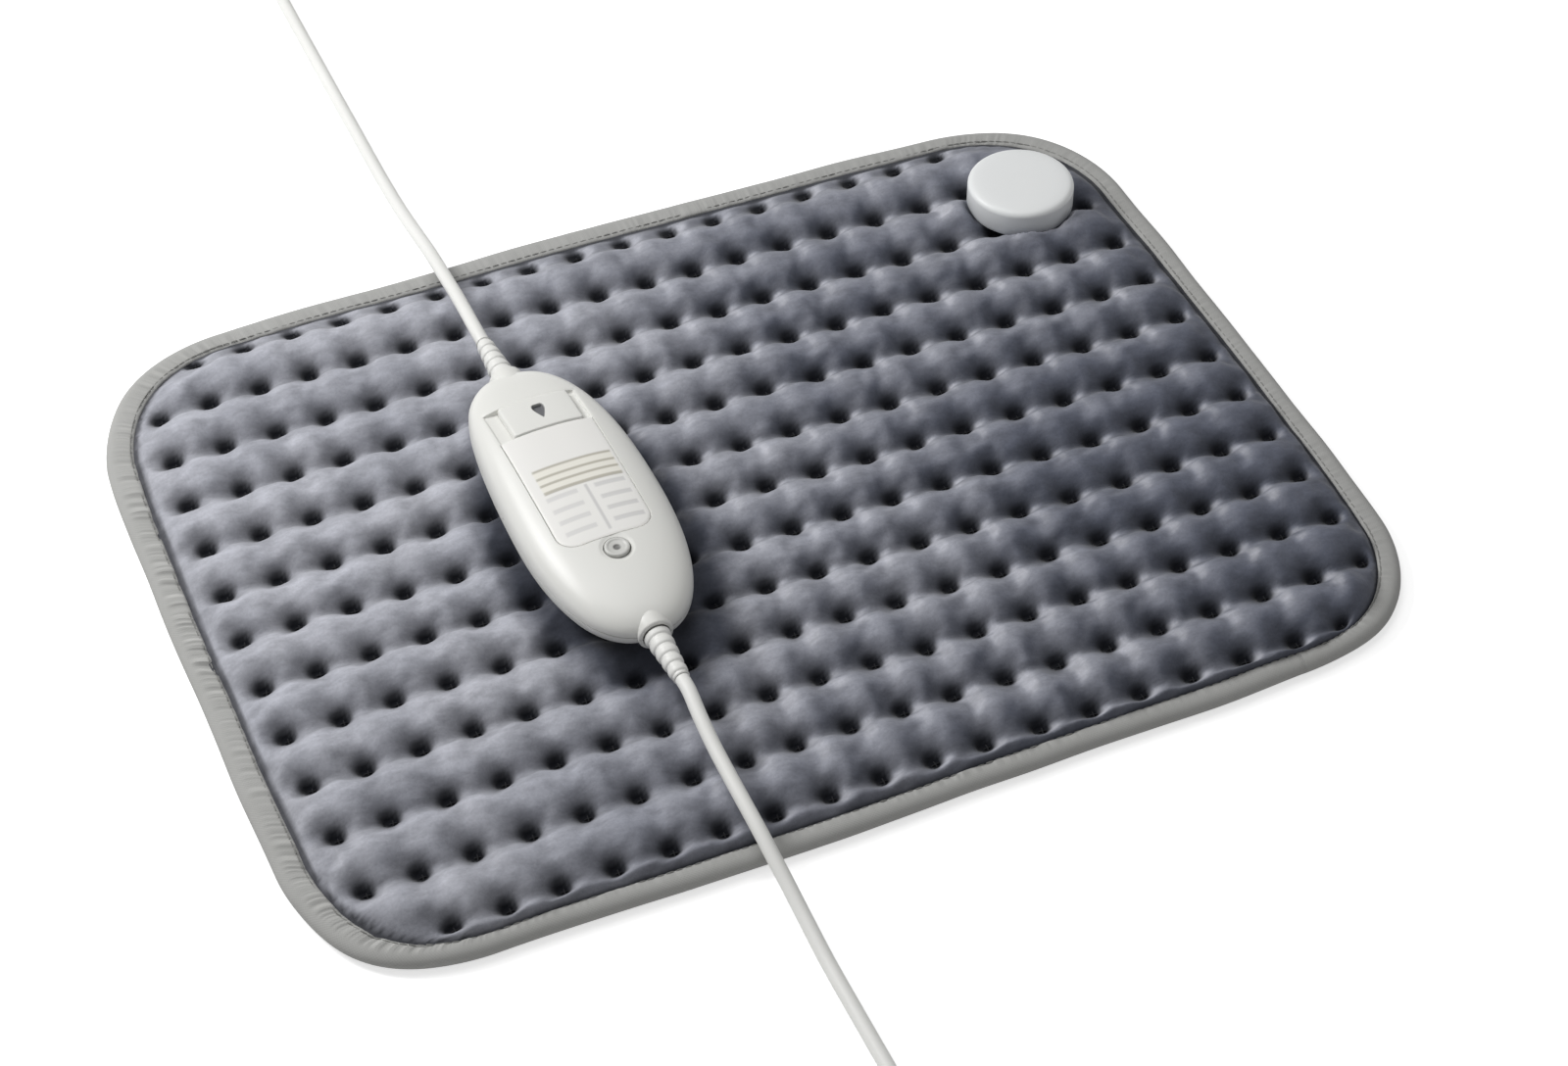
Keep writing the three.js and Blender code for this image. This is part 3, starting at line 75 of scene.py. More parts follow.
def linear(colour: int) -> tuple[float, float, float, float]:
    """Turn an sRGB hex value into the linear colour that a shader takes.

    Args:
        colour: The colour as 0xRRGGBB.

    Returns:
        Red, green, blue and an alpha of one.
    """
    channels = [((colour >> shift) & 255) / 255 for shift in (16, 8, 0)]
    flat = [c / 12.92 if c <= 0.04045 else ((c + 0.055) / 1.055) ** 2.4 for c in channels]
    return (flat[0], flat[1], flat[2], 1.0)


def smooth_step(value: Array, low: float, high: float) -> Array:
    """Rise from 0 at low to 1 at high with no corner at either end."""
    share = np.clip((value - low) / (high - low), 0.0, 1.0)
    return share * share * (3.0 - 2.0 * share)


def ripple(x: Array, y: Array, size: float, seed: int) -> Array:
    """Give an even random field, the same on each run.

    Args:
        x: Places along X.
        y: Places along Y.
        size: How far apart its highs and lows lie.
        seed: Which field it is.

    Returns:
        Values between -1 and 1.
    """
    table = np.random.default_rng(seed).uniform(-1, 1, (128, 128))
    u, v = np.asarray(x) / size + 512.0, np.asarray(y) / size + 512.0
    i, j = np.floor(u).astype(int), np.floor(v).astype(int)
    s, t = smooth_step(u - i, 0, 1), smooth_step(v - j, 0, 1)
    a, b = table[i % 128, j % 128], table[(i + 1) % 128, j % 128]
    c, d = table[i % 128, (j + 1) % 128], table[(i + 1) % 128, (j + 1) % 128]
    return (a * (1 - s) + b * s) * (1 - t) + (c * (1 - s) + d * s) * t


def rounded_reach(x: Array, y: Array, half_x: float, half_y: float, radius: float) -> Array:
    """Measure how far places lie outside a rounded rectangle, less than zero inside it.

    Args:
        x: Places along X.
        y: Places along Y.
        half_x: Half its width.
        half_y: Half its depth.
        radius: Radius of its corners.

    Returns:
        The distances.
    """
    past_x, past_y = np.abs(x) - (half_x - radius), np.abs(y) - (half_y - radius)
    outside = np.hypot(np.maximum(past_x, 0), np.maximum(past_y, 0))
    return outside + np.minimum(np.maximum(past_x, past_y), 0) - radius


def onto(reach: Field, x: Array, y: Array) -> tuple[Array, Array]:
    """Draw places onto an outline by a few steps down its measure.

    Args:
        reach: How far a place lies outside the outline.
        x: Places along X.
        y: Places along Y.

    Returns:
        The places on the outline.
    """
    tiny = 1e-3
    for _ in range(6):
        here = reach(x, y)
        slope_x, slope_y = (reach(x + tiny, y) - here) / tiny, (reach(x, y + tiny) - here) / tiny
        size = np.maximum(slope_x**2 + slope_y**2, 1e-6)
        x, y = x - here * slope_x / size, y - here * slope_y / size
    return x, y


def spaced(low: float, high: float, coarse: float, fine: list[Triple]) -> Array:
    """Lay grid lines between two ends, closer together in some stretches.

    Args:
        low: The first line.
        high: The last line.
        coarse: The usual step.
        fine: Stretches as (from, to, step); they do not overlap.

    Returns:
        The places of the lines, in order.
    """
    stops = sorted({low, high, *[min(max(v, low), high) for zone in fine for v in zone[:2]]})
    lines = [low]
    for start, stop in zip(stops, stops[1:]):
        middle = (start + stop) / 2
        step = next((s for a, b, s in fine if a <= middle <= b), coarse)
        count = max(1, math.ceil((stop - start) / step - 1e-6))
        lines += [start + (stop - start) * k / count for k in range(1, count + 1)]
    return np.array(lines)


@dataclass
class Patch:
    """Squares of a flat grid cut to an outline, with the ring of corners on its rim."""

    x: Array
    y: Array
    quads: Array
    rim: Array

    @classmethod
    def cut(cls, columns: Array, rows: Array, reach: Field) -> "Patch":
        """Keep the squares inside an outline and draw their rim onto it.

        Args:
            columns: Places of the grid lines along X.
            rows: Places of the grid lines along Y.
            reach: How far a place lies outside the outline.

        Returns:
            The patch.
        """
        gx, gy = np.meshgrid(columns, rows)
        slack = 0.45 * np.minimum(np.gradient(columns)[None, :], np.gradient(rows)[:, None])
        kept = reach(gx, gy) < slack
        cells = kept[:-1, :-1] & kept[1:, :-1] & kept[:-1, 1:] & kept[1:, 1:]
        index = np.arange(gx.size).reshape(gx.shape)
        corners = [index[:-1, :-1], index[:-1, 1:], index[1:, 1:], index[1:, :-1]]
        quads = np.stack([c[cells] for c in corners], 1)
        used, flat = np.unique(quads, return_inverse=True)
        quads = flat.reshape(-1, 4)
        x, y = gx.ravel()[used].copy(), gy.ravel()[used].copy()
        edges = {(a, b) for q in quads.tolist() for a, b in zip(q, q[1:] + q[:1])}
        follow = {a: b for a, b in edges if (b, a) not in edges}
        rim = [next(iter(follow))]
        while follow[rim[-1]] != rim[0]:
            rim.append(follow[rim[-1]])
        ring = np.array(rim)
        x[ring], y[ring] = onto(reach, x[ring], y[ring])
        return cls(x, y, quads, ring)

    def shell(self, top: Array, low: Array) -> Body:
        """Close the patch with a second sheet below it.

        Args:
            top: Heights of the upper sheet.
            low: Heights of the lower sheet.

        Returns:
            Points and faces of the closed body.
        """
        count, after = len(self.x), np.roll(self.rim, -1)
        walls = np.stack([self.rim, self.rim + count, after + count, after], 1)
        points = np.concatenate([np.stack([self.x, self.y, z], 1) for z in (top, low)])
        return points, [*self.quads.tolist(), *(self.quads[:, ::-1] + count).tolist(), *walls.tolist()]


def turned(profile: list[Pair], sides: int) -> Body:
    """Turn a profile about Z into a closed body.

    Args:
        profile: Points as (radius, height), from the axis at one end to the axis at the other.
        sides: How many steps a turn has.

    Returns:
        Points and faces.
    """
    angles = np.arange(sides) / sides * 2 * math.pi
    radii, heights = np.array(profile[1:-1]).T[:, :, None] * np.ones(sides)
    points, faces = loft(np.stack([radii * np.cos(angles), radii * np.sin(angles), heights], 2))
    last, top = len(points), len(points) - sides
    faces = faces[:-2]
    for k in range(sides):
        n = (k + 1) % sides
        faces += [[last, n, k], [top + k, top + n, last + 1]]
    return np.vstack([points, (0.0, 0.0, profile[0][1]), (0.0, 0.0, profile[-1][1])]), faces


def squarish(sides: int, power: float) -> tuple[Array, Array]:
    """Walk once round a circle of radius 1 that a power above 2 makes squarer."""
    turn = np.arange(sides) / sides * 2 * math.pi
    return tuple(np.sign(way) * np.abs(way) ** (2 / power) for way in (np.cos(turn), np.sin(turn)))


def soft_profile(profile: list[Pair], radius: float, steps: int = 4) -> list[Pair]:
    """Round the inner corners of a profile, as a mould's edges are.

    Args:
        profile: The sharp profile.
        radius: How far from each corner the rounding starts.
        steps: How many steps a corner gets.

    Returns:
        The rounded profile.
    """
    result = [profile[0]]
    for before, corner, after in zip(profile, profile[1:], profile[2:]):
        a, c, b = (np.array(p, float) for p in (before, corner, after))
        reach_a, reach_b = np.linalg.norm(a - c), np.linalg.norm(b - c)
        start = c + (a - c) / reach_a * min(radius, reach_a * 0.45)
        stop = c + (b - c) / reach_b * min(radius, reach_b * 0.45)
        for k in range(steps + 1):
            s = k / steps
            result.append(tuple((1 - s) ** 2 * start + 2 * s * (1 - s) * c + s * s * stop))
    result.append(profile[-1])
    return result


def loft(rings: Array, closed: bool = False) -> Body:
    """Skin a row of closed rings.

    Args:
        rings: Points as (ring, corner, 3).
        closed: Whether the last ring joins the first. Otherwise both ends are capped.

    Returns:
        Points and faces.
    """
    index = np.arange(rings.shape[0] * rings.shape[1]).reshape(rings.shape[:2])
    here, after = (index, np.roll(index, -1, 0)) if closed else (index[:-1], index[1:])
    faces = np.stack([here, np.roll(here, -1, 1), np.roll(after, -1, 1), after], 2).reshape(-1, 4).tolist()
    if not closed:
        faces += [index[0, ::-1].tolist(), index[-1].tolist()]
    return rings.reshape(-1, 3), faces


def tube(path: Array, radius: float, sides: int) -> Body:
    """Sweep a round section along a path without twisting it.

    Args:
        path: The points of the middle line.
        radius: Radius of the section.
        sides: How many sides the section has.

    Returns:
        Points and faces.
    """
    tangents = np.gradient(path, axis=0)
    tangents /= np.linalg.norm(tangents, axis=1)[:, None]
    side = np.cross(tangents[0], [0.0, 0.0, 1.0])
    side /= np.linalg.norm(side)
    angles = np.arange(sides) / sides * 2 * math.pi
    rings = []
    for point, tangent in zip(path, tangents):
        side = side - tangent * (side @ tangent)
        side /= np.linalg.norm(side)
        other = np.cross(tangent, side)
        rings.append(point + radius * (np.cos(angles)[:, None] * side + np.sin(angles)[:, None] * other))
    return loft(np.array(rings))


def catmull(points: list[Triple], step: float) -> Array:
    """Draw a smooth line through points, spaced by the square root of their distances.

    Args:
        points: The points that the line passes.
        step: How far apart its samples lie, at most.

    Returns:
        The samples.
    """
    p = np.array(points, float)
    p = np.concatenate([[2 * p[0] - p[1]], p, [2 * p[-1] - p[-2]]])
    line = [p[1]]
    for k in range(1, len(p) - 2):
        four = p[k - 1 : k + 3]
        gaps = np.sqrt(np.maximum(np.linalg.norm(np.diff(four, axis=0), axis=1), 1e-6))
        t = np.concatenate([[0.0], np.cumsum(gaps)])
        count = max(1, math.ceil(np.linalg.norm(four[2] - four[1]) / step))
        for now in np.linspace(t[1], t[2], count + 1)[1:]:
            a = [four[i] + (four[i + 1] - four[i]) * (now - t[i]) / (t[i + 1] - t[i]) for i in range(3)]
            b = [a[i] + (a[i + 1] - a[i]) * (now - t[i]) / (t[i + 2] - t[i]) for i in range(2)]
            line.append(b[0] + (b[1] - b[0]) * (now - t[1]) / (t[2] - t[1]))
    return np.array(line)


def merged(*bodies: Body) -> Body:
    """Put several bodies into one list of points and faces.

    Args:
        bodies: The bodies, as points and faces.

    Returns:
        The one body.
    """
    faces, count = [], 0
    for points, sides in bodies:
        faces += [[corner + count for corner in face] for face in sides]
        count += len(points)
    return np.concatenate([np.asarray(points, float) for points, _ in bodies]), faces


def placed(body: Body, place: Matrix) -> Body:
    """Move a body by a matrix in millimetres."""
    matrix = np.array(place)
    return np.asarray(body[0]) @ matrix[:3, :3].T + matrix[:3, 3], body[1]


def block(size: Triple, middle: Triple, tilt: float = 0.0) -> Body:
    """Make a block about its middle, leaning about X by a tilt.

    Args:
        size: Its three sizes.
        middle: Where its middle lies.
        tilt: How far it leans, in radians.

    Returns:
        Points and faces.
    """
    corners = np.array([(x, y, z) for x in (-0.5, 0.5) for y in (-0.5, 0.5) for z in (-0.5, 0.5)]) * size
    body = (corners, [[0, 1, 3, 2], [4, 6, 7, 5], [0, 4, 5, 1], [2, 3, 7, 6], [0, 2, 6, 4], [1, 5, 7, 3]])
    return placed(body, Matrix.Translation(middle) @ Matrix.Rotation(tilt, 4, "X"))


def make_mesh(name: str, body: Body, outward: bool = True) -> bpy.types.Mesh:
    """Make a mesh in metres from points in millimetres.

    Args:
        name: Name of the mesh.
        body: Its points and faces.
        outward: Whether its faces are turned to point outwards.

    Returns:
        The mesh.
    """
    mesh = bpy.data.meshes.new(name)
    mesh.from_pydata((np.asarray(body[0]) * MM).tolist(), [], body[1])
    mesh.validate()
    if outward:
        work = bmesh.new()
        work.from_mesh(mesh)
        bmesh.ops.recalc_face_normals(work, faces=work.faces)
        work.to_mesh(mesh)
        work.free()
    return mesh


def smooth(mesh: bpy.types.Mesh, angle: float = 38.0) -> None:
    """Shade a mesh smooth but for edges sharper than an angle in degrees."""
    mesh.shade_smooth()
    mesh.set_sharp_from_angle(angle=math.radians(angle))


def add_object(name: str, data: bpy.types.ID) -> bpy.types.Object:
    """Put a mesh, a camera or a lamp into the scene at the origin.

    Args:
        name: The object's name.
        data: What it shows.

    Returns:
        The object.
    """
    obj = bpy.data.objects.new(name, data)
    bpy.context.scene.collection.objects.link(obj)
    return obj


def settle(obj: bpy.types.Object) -> None:
    """Turn what an object's modifiers make into its own plain mesh.

    Args:
        obj: The object with its modifiers, which it loses.
    """
    graph = bpy.context.evaluated_depsgraph_get()
    mesh = bpy.data.meshes.new_from_object(obj.evaluated_get(graph), preserve_all_data_layers=True, depsgraph=graph)
    old = obj.data
    obj.modifiers.clear()
    obj.data = mesh
    bpy.data.meshes.remove(old)


def carve(obj: bpy.types.Object, cutter: Body) -> None:
    """Cut a body out of an object.

    Args:
        obj: The object that is cut.
        cutter: Points and faces of what is taken away.
    """
    tool = add_object("cutter", make_mesh("cutter", cutter))
    modifier = obj.modifiers.new("openings", "BOOLEAN")
    modifier.operation = "DIFFERENCE"
    modifier.solver = "EXACT"
    modifier.object = tool
    settle(obj)
    bpy.data.objects.remove(tool)


def add(tree: bpy.types.NodeTree, kind: str, inputs: dict | None = None, **settings: object) -> bpy.types.Node:
    """Add one node with its settings, values and links.

    Args:
        tree: The tree that gets the node.
        kind: The node's type.
        inputs: Values for its inputs, by name or number. An output socket is linked, and so is a
            node's first output where the node itself is given.
        settings: Attributes of the node itself.

    Returns:
        The node.
    """
    node = tree.nodes.new(kind)
    for key, value in settings.items():
        setattr(node, key, value)
    for key, value in (inputs or {}).items():
        source = value.outputs[0] if isinstance(value, bpy.types.Node) else value
        if isinstance(source, bpy.types.NodeSocket):
            tree.links.new(source, node.inputs[key])
        else:
            node.inputs[key].default_value = source
    return node


# ---- Finishes


@dataclass(frozen=True)
class Finish:
    """A finish with two close tones in soft patches and a fine relief.

    The sizes are in millimetres: how wide a patch of tone is, and how wide and deep a grain is.
    """

    name: str
    colour: int
    shade: int
    roughness: float
    patch: float = 30.0
    grain: float = 0.8
    relief: float = 0.02
    metallic: float = 0.0
    ior: float = 1.45
    specular: float = 0.5
    sheen: float = 0.0
    coat: float = 0.0
    spread: float = 0.12
    bump: float = 0.6
    grain_detail: float = 2.0
    grain_rough: float = 0.5

    def material(self) -> bpy.types.Material:
        """Give the material, made on its first use."""
        found = bpy.data.materials.get(self.name)
        return found or self.build()

    def start(self) -> tuple[bpy.types.Material, bpy.types.NodeTree, bpy.types.Node, bpy.types.NodeSocket]:
        """Make the bare material.

        Returns:
            The material, its tree, its shader and the coordinates that its patterns read.
        """
        material = bpy.data.materials.new(self.name)
        material.use_nodes = True
        tree = material.node_tree
        tree.nodes.clear()
        values = {"Roughness": self.roughness, "Metallic": self.metallic, "Specular IOR Level": self.specular}
        if self.metallic < 0.5:
            values["IOR"] = self.ior
        if self.sheen:
            values |= {"Sheen Weight": self.sheen, "Sheen Roughness": 0.45}
        if self.coat:
            values |= {"Coat Weight": self.coat, "Coat Roughness": 0.18}
        shader = add(tree, "ShaderNodeBsdfPrincipled", values)
        add(tree, "ShaderNodeOutputMaterial", {"Surface": shader})
        material.diffuse_color = linear(self.colour)
        return material, tree, shader, add(tree, "ShaderNodeTexCoord").outputs["Object"]

    def tones(self, tree: bpy.types.NodeTree, place: bpy.types.NodeSocket) -> bpy.types.NodeSocket:
        """Mix the two tones in soft patches.

        Args:
            tree: The material's tree.
            place: The coordinates that the patches read.

        Returns:
            The mixed colour.
        """
        patches = add(tree, "ShaderNodeTexNoise", {"Vector": place, "Scale": 1 / (self.patch * MM), "Detail": 3.0})
        colours = {0: patches, 6: linear(self.colour), 7: linear(self.shade)}
        return add(tree, "ShaderNodeMix", colours, data_type="RGBA").outputs[2]

    def grains(self, tree: bpy.types.NodeTree, place: bpy.types.NodeSocket) -> bpy.types.Node:
        """Make the fine grain, whose first output is its height."""
        values = {"Vector": place, "Scale": 1 / (self.grain * MM), "Detail": self.grain_detail}
        return add(tree, "ShaderNodeTexNoise", values | {"Roughness": self.grain_rough})

    def dress(
        self, tree: bpy.types.NodeTree, shader: bpy.types.Node, colour: bpy.types.NodeSocket, height: bpy.types.Node
    ) -> None:
        """Give the shader its colour and its relief.

        Args:
            tree: The material's tree.
            shader: Its shader.
            colour: What colours it.
            height: The node whose first output is the relief's height.
        """
        relief = {"Height": height, "Strength": self.bump, "Distance": self.relief * MM}
        bump = add(tree, "ShaderNodeBump", relief)
        tree.links.new(colour, shader.inputs["Base Color"])
        tree.links.new(bump.outputs[0], shader.inputs["Normal"])

    def build(self) -> bpy.types.Material:
        """Make the material with an even moulded or drawn grain, which its roughness follows.

        Returns:
            The material.
        """
        material, tree, shader, place = self.start()
        colour, grain = self.tones(tree, place), self.grains(tree, place)
        low, high = self.roughness * (1 - self.spread), min(1.0, self.roughness * (1 + self.spread))
        rough = add(tree, "ShaderNodeMapRange", {"Value": grain, 3: low, 4: high})
        tree.links.new(rough.outputs[0], shader.inputs["Roughness"])
        self.dress(tree, shader, colour, grain)
        return material


@dataclass(frozen=True)
class Microplush(Finish):
    """Short-pile polyester plush: the nap lies in soft strokes; painted shade in holes and valleys, painted light on
    lit slopes.
    """

    nap: float = 9.0
    # Near-black of the painted shade in the stitch holes and the groove beside the tape
    painted_shade_colour: int = 0x0C0E14
    bump: float = 0.8
    specular: float = 0.15
    grain_detail: float = 3.0
    grain_rough: float = 0.7

    def build(self) -> bpy.types.Material:
        """Make the plush with its nap and pile, and with painted shade and painted light.

        Returns:
            The material.
        """
        material, tree, shader, place = self.start()
        colour = self.tones(tree, place)
        strokes = {"Vector": place, "Rotation": (0.0, 0.0, 0.5), "Scale": (1.0, 2.2, 1.0)}
        stretch = add(tree, "ShaderNodeMapping", strokes)
        clouds = {"Vector": stretch, "Scale": 1 / (self.nap * MM), "Detail": 4.0, "Roughness": 0.6}
        nap = add(tree, "ShaderNodeTexNoise", clouds)
        # The real pile is 0.2 mm thick; it is drawn at the grain's size so that it shows
        pile = self.grains(tree, place)
        stroke = add(tree, "ShaderNodeMapRange", {"Value": nap, 1: 0.3, 2: 0.7, 3: 0.82, 4: 1.18})
        tuft = add(tree, "ShaderNodeMapRange", {"Value": pile, 1: 0.25, 2: 0.75, 3: 0.9, 4: 1.1})
        both = add(tree, "ShaderNodeMath", {0: stroke, 1: tuft}, operation="MULTIPLY")
        brushed = add(tree, "ShaderNodeVectorMath", {0: colour, 3: both}, operation="SCALE")
        # Painted light and shade: lighter where the pile faces the key lamp, darker in valleys, holes and round the
        # switch
        marks = {
            name: add(tree, "ShaderNodeAttribute", attribute_name=name).outputs["Fac"]
            for name in ("brushed", "pressed", "sewn")
        }
        # Tints for the nap's random tone and for painted light and shade: light at one end, dark and bluish at the
        # other
        lean = {0: marks["brushed"], 6: (0.46, 0.48, 0.54, 1.0), 7: (1.52, 1.49, 1.45, 1.0)}
        gain = add(tree, "ShaderNodeMix", lean, data_type="RGBA")
        # Painted shade: the valleys and the pile round the hand switch go down to 45 percent as bright
        loss = add(tree, "ShaderNodeMapRange", {"Value": marks["pressed"], 3: 1.0, 4: 0.45})
        toned = add(tree, "ShaderNodeVectorMath", {0: brushed, 1: gain.outputs[2]}, operation="MULTIPLY")
        laid = add(tree, "ShaderNodeVectorMath", {0: toned, 3: loss}, operation="SCALE")
        # Near-black painted shade in the stitch holes and the groove beside the tape
        sewn = {0: marks["sewn"], 6: laid, 7: linear(self.painted_shade_colour)}
        cover = add(tree, "ShaderNodeMix", sewn, data_type="RGBA")
        height = add(tree, "ShaderNodeMath", {0: pile, 1: 0.5, 2: nap}, operation="MULTIPLY_ADD")
        self.dress(tree, shader, cover.outputs[2], height)
        return material


@dataclass(frozen=True)
class WovenTape(Finish):
    """Polyester binding tape: fine cross threads, matt, gathered into small ribs along its seam, with painted light and
    shade.
    """

    thread: float = 1.1
    bump: float = 0.5
    specular: float = 0.2

    def build(self) -> bpy.types.Material:
        """Make the tape with threads that follow its own two directions.

        Returns:
            The material.
        """
        material, tree, shader, place = self.start()
        colour = self.tones(tree, place)
        along, across, gathered = (
            add(tree, "ShaderNodeAttribute", attribute_name=name).outputs["Fac"]
            for name in ("along", "across", "gathered")
        )
        # The real threads are 0.3 mm apart; they are drawn at the thread's size so that they show
        weave = []
        for source in (along, across):
            turns = add(tree, "ShaderNodeMath", {0: source, 1: 2 * math.pi / self.thread}, operation="MULTIPLY")
            weave.append(add(tree, "ShaderNodeMath", {0: turns}, operation="SINE"))
        cross = add(tree, "ShaderNodeMath", {0: weave[0], 1: weave[1]}, operation="MULTIPLY")
        shade = add(tree, "ShaderNodeMapRange", {"Value": cross, 1: -1.0, 2: 1.0, 3: 0.96, 4: 1.03})
        toned = add(tree, "ShaderNodeVectorMath", {0: colour, 3: shade}, operation="SCALE")
        # The seam gathers the tape into small ribs, about two to a stitch
        wave = add(tree, "ShaderNodeTexNoise", {"W": along, "Scale": 0.42, "Detail": 1.5}, noise_dimensions="1D")
        rib = add(tree, "ShaderNodeMapRange", {"Value": wave, 1: 0.3, 2: 0.7, 3: -1.0, 4: 1.0})
        ribs = add(tree, "ShaderNodeMath", {0: rib, 1: gathered}, operation="MULTIPLY")
        # Painted shade in the ribs' troughs and painted light on their crests
        depth = add(tree, "ShaderNodeMapRange", {"Value": ribs, 1: -1.0, 2: 1.0, 3: 0.66, 4: 1.2})
        ribbed = add(tree, "ShaderNodeVectorMath", {0: toned, 3: depth}, operation="SCALE")
        height = add(tree, "ShaderNodeMath", {0: ribs, 1: 9.0, 2: cross}, operation="MULTIPLY_ADD")
        self.dress(tree, shader, ribbed.outputs[0], height)
        return material


@dataclass(frozen=True)
class PrintAndShadeFinish(Finish):
    """A smooth face with a pale fill and two inks: plain bars printed on a film, and painted shade in moulded hollows.
    """

    warm_ink: int = 0x958E7D
    grey_ink: int = 0xB3B2B4
    fill: int = 0xE9E2C4
    bump: float = 0.4

    def build(self) -> bpy.types.Material:
        """Make the film; three attributes of the piece say where the inks and the painted shade lie.

        Returns:
            The material.
        """
        material, tree, shader, place = self.start()
        colour = self.tones(tree, place)
        for name, ink in (("fill", self.fill), ("warm_ink", self.warm_ink), ("grey_ink", self.grey_ink)):
            mask = add(tree, "ShaderNodeAttribute", attribute_name=name).outputs["Fac"]
            colour = add(tree, "ShaderNodeMix", {0: mask, 6: colour, 7: linear(ink)}, data_type="RGBA").outputs[2]
        self.dress(tree, shader, colour, self.grains(tree, place))
        return material


# Polyester microplush: soft, matt, with a faint light edge where the pile leans away
PLUSH = Microplush("microplush slate", 0x9C9EA6, 0x8B8E98, 1.0, patch=38.0, grain=1.1, relief=0.22, sheen=0.25)
# Brushed tricot: flat and even, close to the plush in tone
BACKING = Finish("brushed tricot", 0x8D909A, 0x80838D, 0.95, patch=22.0, grain=0.9, relief=0.08, sheen=0.15)
# Needled felt: cloudy, with loose fibres
FELT = Finish("needled felt", 0xD8D4CA, 0xC4C0B4, 0.95, patch=8.0, grain=0.7, relief=0.12)
# Polyester binding tape: light warm grey with fine threads
TAPE = WovenTape("binding tape", 0xB7B7B5, 0xADADAA, 0.85, patch=18.0, relief=0.05, sheen=0.1)
# Polyester sewing thread of the tacks: nearly black and matt
THREAD = Finish("sewing thread dark", 0x18191D, 0x111216, 0.85, patch=2.0, grain=0.3, relief=0.05)
# Polyester sewing thread of the hem: a little darker than the tape
HEM_THREAD = Finish("sewing thread grey", 0x8E8E8B, 0x7D7D7A, 0.6, patch=2.0, grain=0.3, relief=0.05)
# ABS, moulded with a fine satin grain: off-white with a broad soft highlight
HOUSING = Finish("moulded ABS white", 0xE9E9E5, 0xE4E4DF, 0.38, patch=60.0, grain=0.35, relief=0.006, ior=1.54)
# ABS of the socket: the same grain, a touch cooler
SOCKET = Finish("moulded ABS cool white", 0xF2F4F4, 0xEDEFEF, 0.42, patch=40.0, grain=0.35, relief=0.008, ior=1.54)
# ABS button: light grey and smoother, with painted shade in its dished middle
BUTTON = PrintAndShadeFinish(
    "moulded ABS grey", 0xD3D3CF, 0xCBCBC7, 0.4, patch=6.0, grain=0.25, relief=0.004, ior=1.54, grey_ink=0x7E7E7C
)
# ABS of the knob, with painted shade in its pointer's recess
KNOB = PrintAndShadeFinish(
    "moulded ABS painted", 0xE9E9E5, 0xE4E4DF, 0.38, patch=60.0, grain=0.35, relief=0.006, ior=1.54, grey_ink=0x6C6D70
)
# Polyester film with a matt print
FILM = PrintAndShadeFinish("printed film", 0xF0EFEC, 0xECEBE7, 0.5, patch=30.0, grain=0.3, relief=0.004, ior=1.6)
# PVC sheath: soft white, slightly waxy
SHEATH = Finish("PVC sheath white", 0xF0F0ED, 0xE8E8E4, 0.5, patch=40.0, grain=0.6, relief=0.02, ior=1.53)
# PVC of the reliefs and plugs, moulded over the sheath
OVERMOULD = Finish("moulded PVC white", 0xEDEDEA, 0xE4E4E0, 0.45, patch=14.0, grain=0.5, relief=0.012, ior=1.53)
# Silicone insulation of the wires: red-brown and dull
INSULATION = Finish("silicone insulation", 0xC8443C, 0xB53A33, 0.5, patch=6.0, grain=0.5, relief=0.02, ior=1.42)
# Glass-fibre board under green lacquer
BOARD = Finish("board lacquer green", 0x2F6B3F, 0x28603A, 0.35, patch=5.0, grain=0.6, relief=0.01, coat=0.3)
# Glass-filled nylon and epoxy of the small parts: near black and matt
DARK_PART = Finish("moulded nylon black", 0x2A2B2D, 0x222325, 0.5, patch=4.0, grain=0.3, relief=0.01)
# Brass, drawn and lightly tarnished
BRASS = Finish("drawn brass", 0xC9A86A, 0xB08D57, 0.3, patch=3.0, grain=0.25, relief=0.006, metallic=1.0)
# Zinc-plated steel
STEEL = Finish("zinc plated steel", 0xC3C6CA, 0xAEB2B7, 0.32, patch=2.5, grain=0.25, relief=0.006, metallic=1.0)
# Hook-and-loop strap round the coils: woven, dark and matt
STRAP = Finish("woven strap black", 0x303134, 0x27282B, 0.9, patch=3.0, grain=0.8, relief=0.12)


def finish_piece(
    name: str, mesh: bpy.types.Mesh | bpy.types.Object, finish: Finish, body: str | None, slot: str, *replaced: str
) -> bpy.types.Object:
    """Dress a mesh, let it ride on a body and report it.

    Args:
        name: The piece's name.
        mesh: Its mesh, or its object where it already is in the scene.
        finish: What it is made of.
        body: The body it moves with, or None where it rides on no body.
        slot: The record's finish that it stands for; not used.
        replaced: The solids that it stands for.

    Returns:
        The finished piece.
    """
    obj = add_object(name, mesh) if isinstance(mesh, bpy.types.Mesh) else mesh
    obj.name = name
    obj.data.materials.clear()
    obj.data.materials.append(finish.material())
    if body:
        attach(obj, body)
    if replaced:
        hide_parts(*replaced)
    log.info("%s: %d corners, %s", name, len(obj.data.vertices), finish.name)
    return obj


def mark(mesh: bpy.types.Mesh, name: str, values: Array) -> None:
    """Store one value for each corner of a mesh, for its material to read."""
    layer = mesh.attributes.get(name) or mesh.attributes.new(name, "FLOAT", "POINT")
    layer.data.foreach_set("value", np.asarray(values, np.float32))


